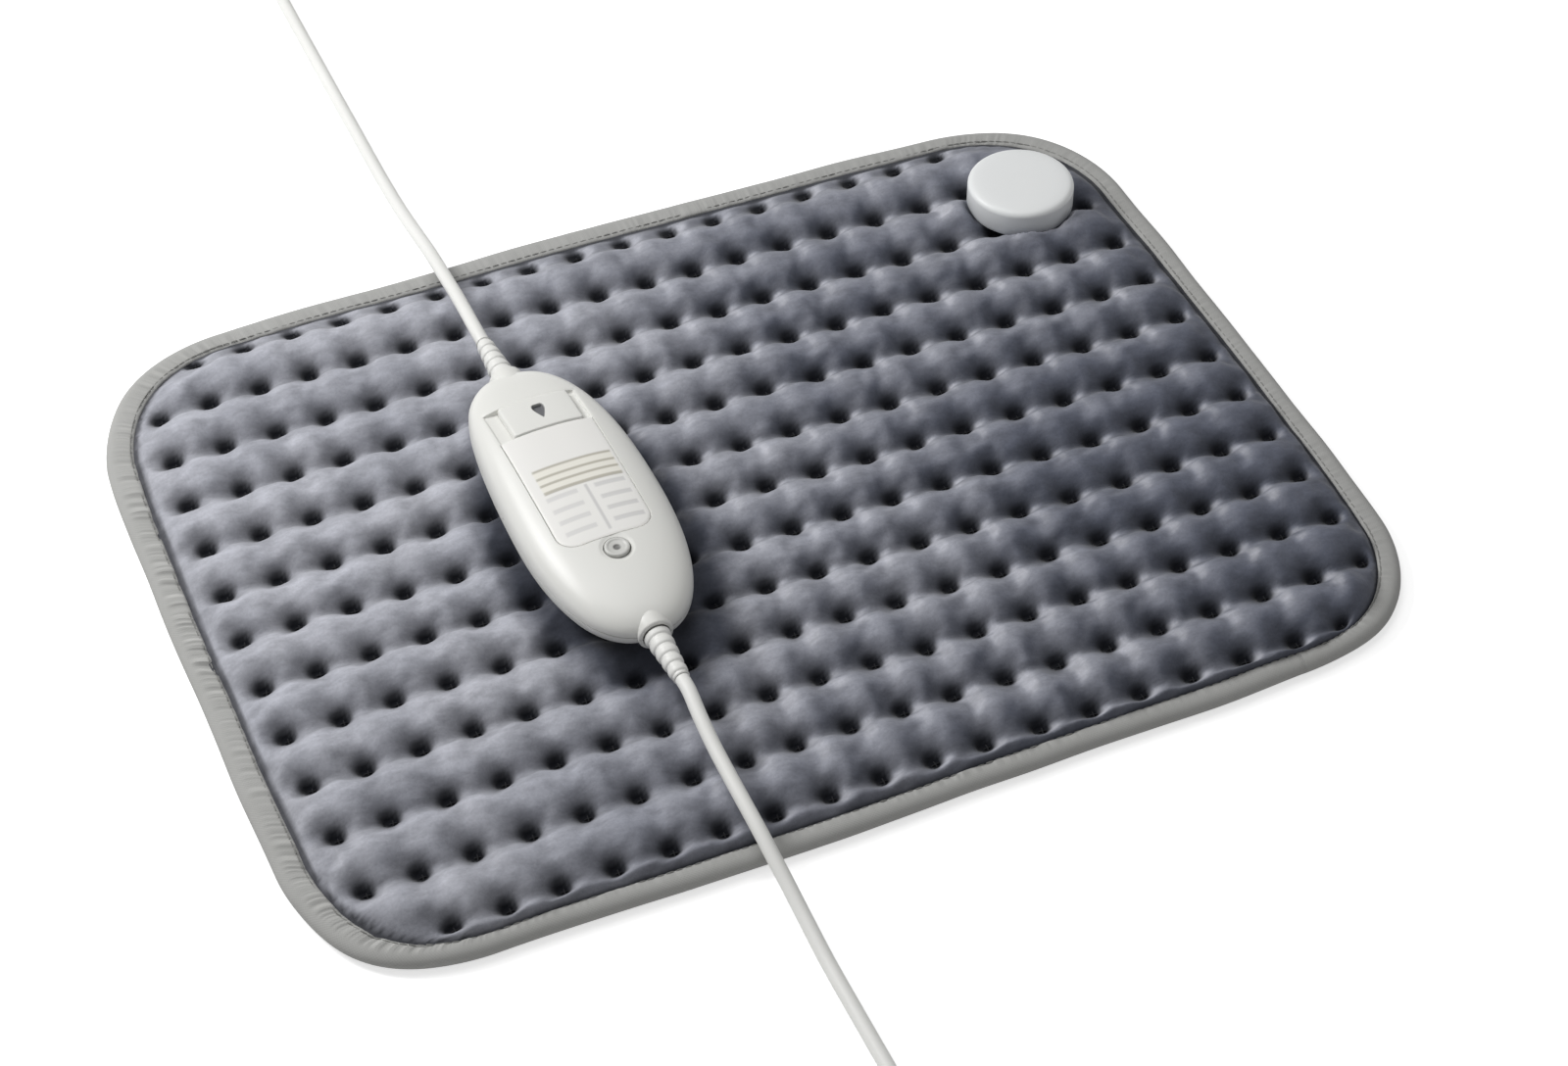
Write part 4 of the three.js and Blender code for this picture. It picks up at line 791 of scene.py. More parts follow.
def make_piece(
    name: str, shape: Body, angle: float, finish: Finish, body: str | None, slot: str, *replaced: str, **marks: Array
) -> bpy.types.Object:
    """Make a piece out of points and faces.

    Args:
        name: The piece's name.
        shape: Its points and faces.
        angle: The angle in degrees above which its edges stay sharp.
        finish: What it is made of.
        body: The body it moves with, or None where it rides on no body.
        slot: The record's finish that it stands for.
        replaced: The solids that it stands for.
        marks: Values for its material at the first corners; they are zero at the others.

    Returns:
        The finished piece.
    """
    mesh = make_mesh(name, shape)
    for key, values in marks.items():
        mark(mesh, key, np.pad(values, (0, len(mesh.vertices) - len(values))))
    smooth(mesh, angle)
    return finish_piece(name, mesh, finish, body, slot, *replaced)


def corners_of(mesh: bpy.types.Mesh) -> Array:
    """Give a mesh's corners in millimetres.

    Args:
        mesh: The mesh.

    Returns:
        One row for each corner.
    """
    flat = np.empty(len(mesh.vertices) * 3, np.float32)
    mesh.vertices.foreach_get("co", flat)
    return flat.reshape(-1, 3).astype(float) / MM


def set_corners(mesh: bpy.types.Mesh, points: Array) -> None:
    """Put a mesh's corners at places in millimetres."""
    mesh.vertices.foreach_set("co", (points * MM).astype(np.float32).ravel())
    mesh.update()


# ---- Stitches, repeated by a node tree


@dataclass(frozen=True)
class StitchTree:
    """A node tree that lays a short sewn thread on each point, along the point's own direction."""

    name: str = "sewn threads"

    def tree(self) -> bpy.types.NodeTree:
        """Build the tree on its first use.

        Returns:
            The tree, with inputs for the thread's length, width, rise and material.
        """
        found = bpy.data.node_groups.get(self.name)
        if found:
            return found
        tree = bpy.data.node_groups.new(self.name, "GeometryNodeTree")
        for label, way, kind, value in (
            ("Points", "INPUT", "Geometry", None), ("Length", "INPUT", "Float", 0.003),
            ("Width", "INPUT", "Float", 0.0004), ("Rise", "INPUT", "Float", 0.0005),
            ("Finish", "INPUT", "Material", None), ("Seed", "INPUT", "Int", 7), ("Threads", "OUTPUT", "Geometry", None),
        ):
            socket = tree.interface.new_socket(label, in_out=way, socket_type=f"NodeSocket{kind}")
            if value is not None:
                socket.default_value = value
        source = add(tree, "NodeGroupInput").outputs
        half = add(tree, "ShaderNodeMath", {0: source["Length"], 1: 0.5}, operation="MULTIPLY")
        back = add(tree, "ShaderNodeMath", {0: half, 1: -1.0}, operation="MULTIPLY")
        start, end = (add(tree, "ShaderNodeCombineXYZ", {"X": reach}) for reach in (back, half))
        crest = add(tree, "ShaderNodeCombineXYZ", {"Z": source["Rise"]})
        curve = {"Resolution": 4, "Start": start, "Middle": crest, "End": end}
        arc = add(tree, "GeometryNodeCurveQuadraticBezier", curve)
        radius = add(tree, "ShaderNodeMath", {0: source["Width"], 1: 0.5}, operation="MULTIPLY")
        ring = add(tree, "GeometryNodeCurvePrimitiveCircle", {"Resolution": 6, "Radius": radius})
        thread = add(tree, "GeometryNodeCurveToMesh", {"Curve": arc, "Profile Curve": ring, "Fill Caps": True})
        along = add(tree, "GeometryNodeInputNamedAttribute", {"Name": "along"}, data_type="FLOAT_VECTOR")
        turn = add(tree, "FunctionNodeAlignRotationToVector", {"Vector": along}, axis="X", pivot_axis="Z")
        vary = add(tree, "FunctionNodeRandomValue", {2: 0.9, 3: 1.1, "Seed": source["Seed"]}, data_type="FLOAT")
        spots = {"Points": source["Points"], "Instance": thread, "Rotation": turn, "Scale": vary.outputs[1]}
        laid = add(tree, "GeometryNodeInstanceOnPoints", spots)
        real = add(tree, "GeometryNodeRealizeInstances", {"Geometry": laid})
        painted = add(tree, "GeometryNodeSetMaterial", {"Geometry": real, "Material": source["Finish"]})
        add(tree, "NodeGroupOutput", {0: painted})
        return tree

    def sew(
        self, name: str, points: Array, along: Array, sizes: Triple, finish: Finish, slot: str
    ) -> None:
        """Lay threads on points as one plain piece that rides on the pad.

        Args:
            name: Name of the piece.
            points: Middles of the threads.
            along: Their directions.
            sizes: Length, width and rise of a thread.
            finish: What the thread is made of.
            slot: The record's finish that it stands for.
        """
        mesh = bpy.data.meshes.new(name)
        mesh.from_pydata((points * MM).tolist(), [], [])
        layer = mesh.attributes.new("along", "FLOAT_VECTOR", "POINT")
        layer.data.foreach_set("vector", np.asarray(along, np.float32).ravel())
        obj = add_object(name, mesh)
        tree = self.tree()
        modifier = obj.modifiers.new("threads", "NODES")
        modifier.node_group = tree
        values = dict(zip(("Length", "Width", "Rise"), (size * MM for size in sizes)))
        values["Finish"] = finish.material()
        for item in tree.interface.items_tree:
            if item.item_type == "SOCKET" and item.in_out == "INPUT" and item.name in values:
                modifier[item.identifier] = values[item.name]
        settle(obj)
        smooth(obj.data, 60)
        finish_piece(name, obj, finish, "pad", slot)


# ---- The pad


@dataclass
class QuiltedPad:
    """The soft pad: quilted top cover, binding, back cover, carrier felt and their stitches."""

    length: float = 400.0
    depth: float = 311.0
    corner: float = 58.0
    hem_width: float = 9.5
    hem_wall: float = 0.8
    hem_side_wall: float = 1.6
    hem_thickness: float = 6.6
    seat_gap: float = 0.3
    back_thickness: float = 2.0
    felt_bottom: float = 2.3
    felt_top: float = 3.0
    cover_bottom: float = 4.8
    rim_thickness: float = 0.7
    columns: int = 20
    rows: int = 13
    pitch_x: float = 18.8
    pitch_y: float = 22.98
    shift_x: float = 2.25
    shift_y: float = 2.45
    dimple: float = 0.9
    saddle: float = 3.4
    crown: float = 9.2
    edge_height: float = 3.3
    edge_run: float = 13.0
    stitch_margin: float = 2.0
    dimple_reach: float = 4.3
    rim_draw: tuple[float, ...] = (
        0.6, 1.7, 1.6, 1.2, 2.7, 3.2, -2.3, 3.2, 3.2, 2.7, 2.8, 2.7, 3.5, 4.7, 5.1, 5.9,
        5.5, 9.3, 2.5, 1.7, -0.6, -1.4, -0.9, -1.2, -1.2, -0.9, -0.8, -0.9, 0.4, -0.2, -1.4, 2.3,
        -0.2, -0.2, -0.5, -0.8, -1.2, -1.3, 0.0, 0.7, -0.1, 3.0, 2.4, 4.4, 1.0, 0.7, 0.8, 0.5,
    )
    hem_extra: tuple[float, ...] = (0.9, 0.6, -1.6, -1.2, 0.6, -0.6, -1.5, -1.0, -0.8, -0.3, -0.3, 0.4)
    row_drift: tuple[float, ...] = (-3.68, -3.19, 1.53, 5.48, -3.38, -1.02, 3.46, -0.65, 1.36, 3.63)
    column_drift: tuple[float, ...] = (-0.96, 0.66, 1.46, -0.46, 0.73, -1.03, -6.69, 2.06, -2.45, 1.82)
    socket_place: Pair = (156.5, 99.9)
    socket_radius: float = 20.4
    socket_seat: float = 9.8
    switch_place: Pair = (-58.4, 0.6)
    resting_height: float = 14.1
    resting_half: Pair = (30.0, 69.0)
    swell_cap: float = 1.1
    # The way towards the key lamp, which the painted light on the pile follows
    key_light_way: Triple = (-0.62, 0.35, 0.7)
    cells_x: int = 8
    cells_y: int = 10
    sway: float = 0.75
    across_power: float = 0.74
    crest_shift: float = 0.76
    crest_power: float = 2.1
    tuft_power: float = 3.2
    roll_radius: float = 3.6
    hole: float = 1.4
    # Length, width and rise of a stitch
    tack_size: Triple = (2.6, 0.45, 0.6)
    seam_size: Triple = (2.3, 0.4, 0.35)
    seam_inset: float = 8.3
    seam_sunk: float = 0.33

    def reach(self, inset: float) -> Field:
        """Give the measure of how far places lie outside the pad's outline, drawn in by an inset."""
        half_x, half_y = self.length / 2 - inset, self.depth / 2 - inset
        return lambda x, y: rounded_reach(x, y, half_x, half_y, self.corner - inset)

    @property
    def cut(self) -> Field:
        """The measure of how far places lie outside the cover's cut, where the tape meets it."""
        return self.reach(self.hem_width + self.seat_gap)

    @property
    def first_stitch(self) -> Pair:
        """The place of the first stitch, at the near left corner of their grid."""
        x = self.shift_x - (self.columns - 1) / 2 * self.pitch_x
        return x, self.shift_y - (self.rows - 1) / 2 * self.pitch_y

    def grid(self) -> Patch:
        """Cut a grid to the cover's outline, with its lines in step with the stitches.

        Returns:
            The patch.
        """
        step_x, step_y = self.pitch_x / self.cells_x, self.pitch_y / self.cells_y
        columns = self.shift_x + np.arange(-86, 86) * step_x + self.pitch_x / 2
        return Patch.cut(columns, self.shift_y + np.arange(-70, 71) * step_y, self.cut)

    def slope(self, x: Array, y: Array) -> tuple[Array, Array]:
        """Give the outward direction at places near the pad's rim.

        Args:
            x: Places along X.
            y: Places along Y.

        Returns:
            The direction along X and along Y.
        """
        reach, tiny = self.reach(0.0), 0.01
        return tuple(
            (reach(x + dx, y + dy) - reach(x - dx, y - dy)) / (2 * tiny) for dx, dy in ((tiny, 0), (0, tiny))
        )

    def round_about(self, x: Array, y: Array, values: tuple[float, ...]) -> Array:
        """Blend values that stand at even angles round the pad, from its left side onwards.

        Args:
            x: Places along X.
            y: Places along Y.
            values: What holds at each angle.

        Returns:
            The value at each place.
        """
        angle = np.degrees(np.arctan2(y / self.depth, x / self.length))
        step = 360 / len(values)
        off = ((angle[..., None] - np.arange(len(values)) * step) % 360 - 180) / (0.8 * step)
        shares = np.exp(-(off**2))
        return (shares * values).sum(-1) / shares.sum(-1)

    def drawn_in(self, points: Array) -> Array:
        """Let the rows of stitches drift and draw the rim in, as a sewn pad does.

        Args:
            points: Places in millimetres.

        Returns:
            The moved places.
        """
        x, y = points[:, 0], points[:, 1]
        u, v = x / self.length * 2, y / self.depth * 2
        terms = [u**a * v**b for a in range(4) for b in range(4 - a)]
        out_x, out_y = self.slope(x, y)
        draw = self.round_about(x, y, self.rim_draw)
        rim = 1 - smooth_step(-self.reach(0.0)(x, y), 3.0, 20.0)
        moved = points.copy()
        moved[:, 0] += (1 - rim) * sum(c * t for c, t in zip(self.column_drift, terms)) - out_x * draw * rim
        moved[:, 1] += (1 - rim) * sum(c * t for c, t in zip(self.row_drift, terms)) - out_y * draw * rim
        return moved

    def slack(self, x: Array, y: Array) -> tuple[Array, Array]:
        """Measure how far places lie inside the tape, and how wide the groove beside the tape is.

        Args:
            x: Places along X.
            y: Places along Y.

        Returns:
            Both distances.
        """
        left = np.maximum(-self.slope(x, y)[0], 0)
        groove = 0.4 + 0.6 * left + 0.3 * ripple(x, y, 9.0, 13)
        wide = np.maximum(self.round_about(x, y, self.hem_extra), 0)
        return -self.cut(x, y) - wide, groove

    def stitch_places(self) -> Array:
        """Give the places where the layers are sewn together, as rows of (x, y).

        Returns:
            One row for each stitch.
        """
        first_x, first_y = self.first_stitch
        columns = first_x + np.arange(self.columns) * self.pitch_x
        gx, gy = np.meshgrid(columns, first_y + np.arange(self.rows) * self.pitch_y)
        inside = -self.cut(gx, gy) >= self.stitch_margin
        return np.stack([gx[inside], gy[inside]], 1)

    def wander(self, x: Array, y: Array) -> tuple[Array, Array]:
        """Shift places a little, as sewing by hand-guided cloth does."""
        return x + self.sway * ripple(x, y, 27.0, 11), y + self.sway * ripple(x, y, 31.0, 12)

    def tuft(self, x: Array, y: Array) -> Array:
        """Measure how close places are to a stitch: 1 on it, 0 far from all.

        Args:
            x: Places along X.
            y: Places along Y.

        Returns:
            The closeness.
        """
        wx, wy = self.wander(x, y)
        first_x, first_y = self.first_stitch
        i, j = np.round((wx - first_x) / self.pitch_x), np.round((wy - first_y) / self.pitch_y)
        loose = 1.0
        for m, n in ((i + a, j + b) for a in (-1, 0, 1) for b in (-1, 0, 1)):
            cx, cy = first_x + m * self.pitch_x, first_y + n * self.pitch_y
            sewn = -self.cut(cx, cy) >= self.stitch_margin
            sewn &= (m >= 0) & (m < self.columns) & (n >= 0) & (n < self.rows)
            dx, dy = wx - cx, (wy - cy) * 1.1
            away = np.hypot(dx, dy)
            # Each pull runs out further towards the far left, where the fold starts
            leaning = (0.7 * dy - 0.71 * dx) / np.maximum(away, 1e-6)
            away = away * (1 - 0.3 * leaning) / self.dimple_reach
            loose = loose * (1 - sewn / (1 + away**self.tuft_power))
        return 1 - loose

    def surface(self, x: Array, y: Array) -> Array:
        """Give the quilt's height above the floor.

        Args:
            x: Places along X.
            y: Places along Y.

        Returns:
            Heights of the puffed channels, saddles and dimples.
        """
        wx, wy = self.wander(x, y)
        first_x, first_y = self.first_stitch
        across = np.abs(np.sin(math.pi * (wy - first_y) / self.pitch_y)) ** self.across_power
        # Each puff has its crest nearer to the stitch on its left
        gone = ((wx - first_x) / self.pitch_x % 1) ** self.crest_shift
        between = np.sin(math.pi * gone) ** self.crest_power
        near_right = smooth_step(-y, 10, 100) * smooth_step(x, -110, -10) * (1 - 0.6 * smooth_step(x, 60, 120))
        drop = 1.0 + 1.7 * near_right
        crest = self.crown - drop * (1 - between) + 0.35 * ripple(x, y, 16.0, 3) + 0.2 * ripple(x, y, 8.0, 7)
        # The cover bulges round the socket that presses it down
        crest = crest + 1.6 * (1 - smooth_step(self.off_socket(x, y), 22, 38))
        saddle = self.saddle * (0.75 + 0.25 * between)
        puffed = saddle + (crest - saddle) * across
        inward, groove = self.slack(x, y)
        puffed = self.edge_height + (puffed - self.edge_height) * smooth_step(inward, 0, self.edge_run)
        puffed = puffed + 0.55 * ripple(x + 0.9 * y, 0.3 * y - 0.3 * x, 6.0, 4) * smooth_step(-inward, -13.0, -3.0)
        height = puffed - (puffed - self.dimple) * self.tuft(x, y)
        rolled = np.clip(inward - groove, 0, self.roll_radius) / self.roll_radius
        roll = np.sqrt(np.clip(1 - (1 - rolled) ** 2, 0, 1))
        height = self.rim_thickness + (height - self.rim_thickness) * roll
        return self.cover_bottom + height

    def off_socket(self, x: Array, y: Array) -> Array:
        """Measure how far places lie from the socket's middle."""
        return np.hypot(x - self.socket_place[0], y - self.socket_place[1])

    def pressed(self, x: Array, y: Array, z: Array) -> Array:
        """Press heights down under the socket and the resting hand switch.

        Args:
            x: Drawn places along X.
            y: Drawn places along Y.
            z: Heights before.

        Returns:
            Heights that stay below both.
        """
        away = self.off_socket(x, y) - self.socket_radius
        z = np.minimum(z, self.socket_seat + 6.5 * smooth_step(away, -0.4, 3.0))
        (middle_x, middle_y), (half_x, half_y) = self.switch_place, self.resting_half
        near = np.hypot((x - middle_x) / half_x, (y - middle_y) / half_y) < 1
        return np.where(near, np.minimum(z, self.resting_height), z)

    def inflate(self, obj: bpy.types.Object, held: Array) -> None:
        """Let the cover swell between its stitches as filled cloth does.

        Args:
            obj: The open cover sheet.
            held: Which corners the stitches and the hem hold.
        """
        start = corners_of(obj.data)
        group = obj.vertex_groups.new(name="held")
        group.add(np.flatnonzero(held).tolist(), 1.0, "REPLACE")
        modifier = obj.modifiers.new("swell", "CLOTH")
        cloth = modifier.settings
        for key, value in (
            ("quality", 4), ("mass", 0.3), ("tension_stiffness", 12), ("compression_stiffness", 12),
            ("bending_stiffness", 0.05), ("shrink_min", -0.035), ("use_pressure", True),
            ("uniform_pressure_force", 4), ("vertex_group_mass", "held"),
        ):
            setattr(cloth, key, value)
        cloth.effector_weights.gravity = 0
        modifier.collision_settings.use_collision = False
        scene = bpy.context.scene
        for number in range(1, 21):
            scene.frame_set(number)
        swelled = obj.evaluated_get(bpy.context.evaluated_depsgraph_get())
        shift = np.nan_to_num(corners_of(swelled.to_mesh()) - start)
        swelled.to_mesh_clear()
        obj.modifiers.clear()
        scene.frame_set(1)
        size = np.maximum(np.linalg.norm(shift, axis=1), 1e-9)
        shift *= (np.tanh(size / self.swell_cap) * self.swell_cap / size)[:, None]
        log.info("cover swelled by up to %.2f mm, %.2f mm on average", size.max(), size.mean())
        set_corners(obj.data, start + shift)

    def cover(self) -> bpy.types.Object:
        """Make the quilted top cover.

        Returns:
            The cover as a closed padded piece.
        """
        patch = self.grid()
        z = self.surface(patch.x, patch.y)
        mesh = make_mesh("cover", (np.stack([patch.x, patch.y, z], 1), patch.quads.tolist()), outward=False)
        obj = add_object("quilted_cover", mesh)
        held = self.tuft(patch.x, patch.y) > 0.6
        held[patch.rim] = True
        self.inflate(obj, held)
        finer = obj.modifiers.new("finer", "SUBSURF")
        finer.levels = finer.render_levels = 1
        settle(obj)
        points = corners_of(obj.data)
        x, y = points[:, 0], points[:, 1]
        tuft = self.tuft(x, y)
        # The thread draws a narrow hole into the pile at each stitch
        points[:, 2] -= self.hole * smooth_step(tuft, 0.72, 1.0)
        points[:, 2] += 0.09 * ripple(x, y, 2.6, 21) + 0.12 * ripple(x, y, 4.7, 22)
        drawn = self.drawn_in(points)
        points[:, 2] = np.maximum(self.pressed(drawn[:, 0], drawn[:, 1], points[:, 2]), self.cover_bottom + 0.45)
        set_corners(obj.data, points)
        self.close_below(obj.data)
        self.mark_pile(obj.data)
        set_corners(obj.data, self.drawn_in(corners_of(obj.data)))
        smooth(obj.data, 180)
        return finish_piece("quilted_cover", obj, PLUSH, "pad", "plush", "quilted_top_cover")

    def mark_pile(self, mesh: bpy.types.Mesh) -> None:
        """Say where the pile gets painted shade and painted light, along with the nap's random tone.

        Args:
            mesh: The cover, before its rim is drawn in.
        """
        x, y, z = corners_of(mesh).T
        inward, groove = self.slack(x, y)
        # Painted shadow of the hand switch on the pile round it
        painted_switch_shadow = 1 - smooth_step(np.hypot((x + 54.0) / 34, (y + 3.0) / 72), 0.85, 1.24)
        rim = 1 - smooth_step(inward - groove, -0.2, 1.5)
        normals = np.empty(len(x) * 3, np.float32)
        mesh.vertex_normals.foreach_get("vector", normals)
        facing = normals.reshape(-1, 3) @ np.array(self.key_light_way)
        right = smooth_step(x, -120, 60)
        # Painted shade: darker the further below the crown, less so near the rim and on slopes facing the key lamp
        below = smooth_step(self.cover_bottom + self.crown - 0.6 - z, 0.6, 6.4)
        sunk = below * (0.3 + 0.7 * smooth_step(inward, 0, 12))
        sunk = np.maximum(sunk * (1 - (0.4 + 0.55 * right) * smooth_step(facing, 0.66, 0.92)), painted_switch_shadow)
        # The nap's random tone, with a painted sheen lighter towards the left and the far side
        brushed = 0.5 - x / 420 + y / 1100 + 0.16 * ripple(x, y, 48.0, 5) + 0.07 * ripple(x, y, 15.0, 6)
        # Painted light on slopes that face the key lamp
        brushed += 0.7 * (facing - 0.62) * (0.4 + 0.6 * right)
        # Painted highlights where the pile faces the key lamp most, and painted shadow round the hand switch
        brushed += 0.62 * smooth_step(facing, 0.85, 0.99) * (0.2 + 0.8 * right) - 0.8 * painted_switch_shadow
        # Painted shade: near-black in the stitch holes, and at 0.8 in the groove beside the tape
        mark(mesh, "sewn", np.maximum(smooth_step(self.tuft(x, y), 0.38, 0.93), 0.8 * rim))
        mark(mesh, "pressed", np.clip(sunk, 0, 1))
        mark(mesh, "brushed", np.clip(brushed, 0, 1))

    def close_below(self, mesh: bpy.types.Mesh) -> None:
        """Carry the cover's rim into the hem's fold and close it underneath.

        Args:
            mesh: The open cover.
        """
        work = bmesh.new()
        work.from_mesh(mesh)

        def grown(edges: list[bmesh.types.BMEdge]) -> tuple[list[bmesh.types.BMVert], list[bmesh.types.BMEdge]]:
            """Draw a new strip out of open edges and give its far corners and edges.

            Args:
                edges: The open edges.

            Returns:
                The new corners and edges.
            """
            parts = bmesh.ops.extrude_edge_only(work, edges=edges)["geom"]
            verts = [part for part in parts if isinstance(part, bmesh.types.BMVert)]
            return verts, [part for part in parts if isinstance(part, bmesh.types.BMEdge) and part.is_boundary]

        ring, edges = grown([edge for edge in work.edges if edge.is_boundary])
        x, y = np.array([vert.co[:2] for vert in ring]).T / MM
        for vert, vx, vy in zip(ring, *onto(self.reach(self.hem_side_wall + self.seat_gap), x, y)):
            vert.co = Vector((vx, vy, self.cover_bottom + self.rim_thickness)) * MM
        foot, edges = grown(edges)
        for vert in foot:
            vert.co.z = self.cover_bottom * MM
        bmesh.ops.contextual_create(work, geom=edges)
        bmesh.ops.recalc_face_normals(work, faces=work.faces)
        work.to_mesh(mesh)
        work.free()

    def stations(self, step: float) -> tuple[Array, Array, Array]:
        """Walk round the pad's outline.

        Args:
            step: How far apart the stations lie.

        Returns:
            Outline points, inward directions and the way walked, one row each.
        """
        half_x, half_y, quarter = self.length / 2 - self.corner, self.depth / 2 - self.corner, math.pi / 2
        points, inward = [], []
        for k, middle in enumerate([(half_x, -half_y), (half_x, half_y), (-half_x, half_y), (-half_x, -half_y)]):
            side = 2 * (half_x if k % 2 else half_y)
            bend, straight = math.ceil(self.corner * quarter / step), math.ceil(side / step)
            turn = np.concatenate([(k - 1 + np.arange(bend) / bend) * quarter, np.full(straight, k * quarter)])
            gone = np.concatenate([np.zeros(bend), side * np.arange(straight) / straight])[:, None]
            out = np.stack([np.cos(turn), np.sin(turn)], 1)
            along = np.array([-math.sin(k * quarter), math.cos(k * quarter)])
            points.append(np.array(middle) + self.corner * out + along * gone)
            inward.append(-out)
        ring = np.concatenate(points)
        way = np.concatenate([[0.0], np.cumsum(np.linalg.norm(np.diff(ring, axis=0), axis=1))])
        return ring, np.concatenate(inward), way

    def hem_section(self) -> Array:
        """Give the tape's section as (inset, height), once round.

        Returns:
            One row for each point.
        """
        top, wall, wide, fold = self.hem_thickness, self.hem_wall, self.hem_width, 4.1
        outer = []
        for k in range(15):
            a = -math.pi / 2 + k / 14 * math.pi
            outer.append((fold - fold * abs(math.cos(a)) ** 0.9, top / 2 * (1 + math.sin(a))))
        under = [(wide - 0.2, 0.0), (8.0, 0.0), (6.2, 0.0)]
        over = [(5.2, top), (6.4, top - 0.05), (7.5, top - 0.12), (8.5, top - 0.3), (9.2, top - 0.6), (wide, top - 1.0)]
        inner = [
            (wide, wall + 4.0), (8.0, top - wall - 0.25), (5.0, top - wall - 0.1), (2.6, top - wall - 0.3),
            (self.hem_side_wall, top / 2), (2.6, wall + 0.1), (5.0, wall), (8.0, wall), (wide, wall * 0.6),
        ]
        return np.array(under + outer + over + inner)

    def binding(self) -> None:
        """Make the binding tape, puckered where it is sewn down."""
        ring, inward, way = self.stations(1.6)
        section = self.hem_section()
        inset, height = section.T

        def wave(size: float, seed: int) -> Array:
            """Give a random field along the tape, one row for each station."""
            return ripple(way, way * 0, size, seed)[:, None]

        top_share = smooth_step(height, self.hem_thickness * 0.45, self.hem_thickness)
        loose = 0.45 + 0.55 * smooth_step(wave(60.0, 41), -0.4, 0.5)
        pucker = wave(3.4, 42) + 0.6 * wave(7.5, 43)
        left = np.maximum(inward[:, :1], 0)
        rise = (0.34 + 0.36 * left) * pucker * loose * smooth_step(inset, 2.5, 9.0) * top_share
        roll = 0.12 * wave(11.0, 44) * top_share
        fold = 0.35 * np.exp(-(((height - 1.5) / 0.5) ** 2)) + 0.2 * wave(23.0, 45)
        wide = self.round_about(*ring.T, self.hem_extra)[:, None]
        shift = inset + wide * np.clip((inset - 2.5) / 7.0, 0, 1) + fold * (inset < 3.5)
        x, y = (ring[:, k : k + 1] + inward[:, k : k + 1] * shift for k in (0, 1))
        points, faces = loft(np.stack([x, y, np.maximum(height + rise - np.abs(roll), 0.0)], 2), closed=True)
        girth = np.concatenate([[0.0], np.cumsum(np.hypot(np.diff(inset), np.diff(height)))])
        gathered = (0.4 + 0.6 * left) * loose * smooth_step(inset, 1.5, 5.5) * top_share
        make_piece(
            "binding_tape", (self.drawn_in(points), faces), 60, TAPE, "pad", "tape", "edge_binding",
            along=np.repeat(way, len(section)), across=np.tile(girth, len(ring)), gathered=gathered.ravel(),
        )

    def back(self) -> None:
        """Make the back cover, drawn in a little at each stitch."""
        patch = self.grid()
        x, y = patch.x, patch.y
        sunk = 0.9 * self.tuft(x, y) + 0.12 * (1 + ripple(x, y, 9.0, 51))
        low = sunk * smooth_step(-self.cut(x, y), 0, 3.0)
        points, faces = patch.shell(np.full(len(x), self.back_thickness), low)
        make_piece("back_panel", (self.drawn_in(points), faces), 50, BACKING, "pad", "backing", "back_cover")

    def felt(self) -> None:
        """Make the felt that carries the heating wire."""
        lines = np.linspace(-200, 200, 66)
        patch = Patch.cut(lines, lines, self.reach(self.hem_side_wall + self.seat_gap))
        cloud = 0.06 * ripple(patch.x, patch.y, 7.0, 61)
        points, faces = patch.shell(self.felt_top - 0.06 + cloud, self.felt_bottom + 0.06 + cloud)
        make_piece("carrier_felt", (self.drawn_in(points), faces), 50, FELT, "pad", "felt", "wire_carrier_felt")

    def tacks(self) -> None:
        """Sew two short crossed threads into each dimple."""
        places = self.stitch_places()
        places = places[self.off_socket(*places.T) > self.socket_radius + 4]
        # The cover wanders, so each thread follows its dimple
        found = places.copy()
        for _ in range(4):
            found += places - np.stack(self.wander(*found.T), 1)
        points = np.concatenate([found, found])
        turn = np.repeat([0.0, 1.5], len(found)) + 0.2 * ripple(*points.T, 5.0, 71)
        along = np.stack([np.cos(turn), np.sin(turn), turn * 0], 1)
        points = self.drawn_in(np.column_stack([points, np.full(len(points), self.cover_bottom + 0.6)]))
        StitchTree().sew("tack_stitches", points, along, self.tack_size, THREAD, "plush")

    def seam(self) -> None:
        """Sew the row of stitches along the binding's inner edge."""
        ring, inward, _ = self.stations(3.2)
        points = ring + inward * (self.seam_inset + self.round_about(*ring.T, self.hem_extra))[:, None]
        z = np.full(len(points), self.hem_thickness - self.seam_sunk)
        points = self.drawn_in(np.column_stack([points, z]))[:, :2]
        along = np.stack([-inward[:, 1], inward[:, 0], np.zeros(len(points))], 1)
        points = np.column_stack([points, z])
        StitchTree().sew("hem_stitches", points, along, self.seam_size, HEM_THREAD, "tape")

    def build(self) -> None:
        """Make and dress every soft piece of the pad."""
        self.cover()
        self.binding()
        self.back()
        self.felt()
        self.tacks()
        self.seam()


# ---- The socket housing


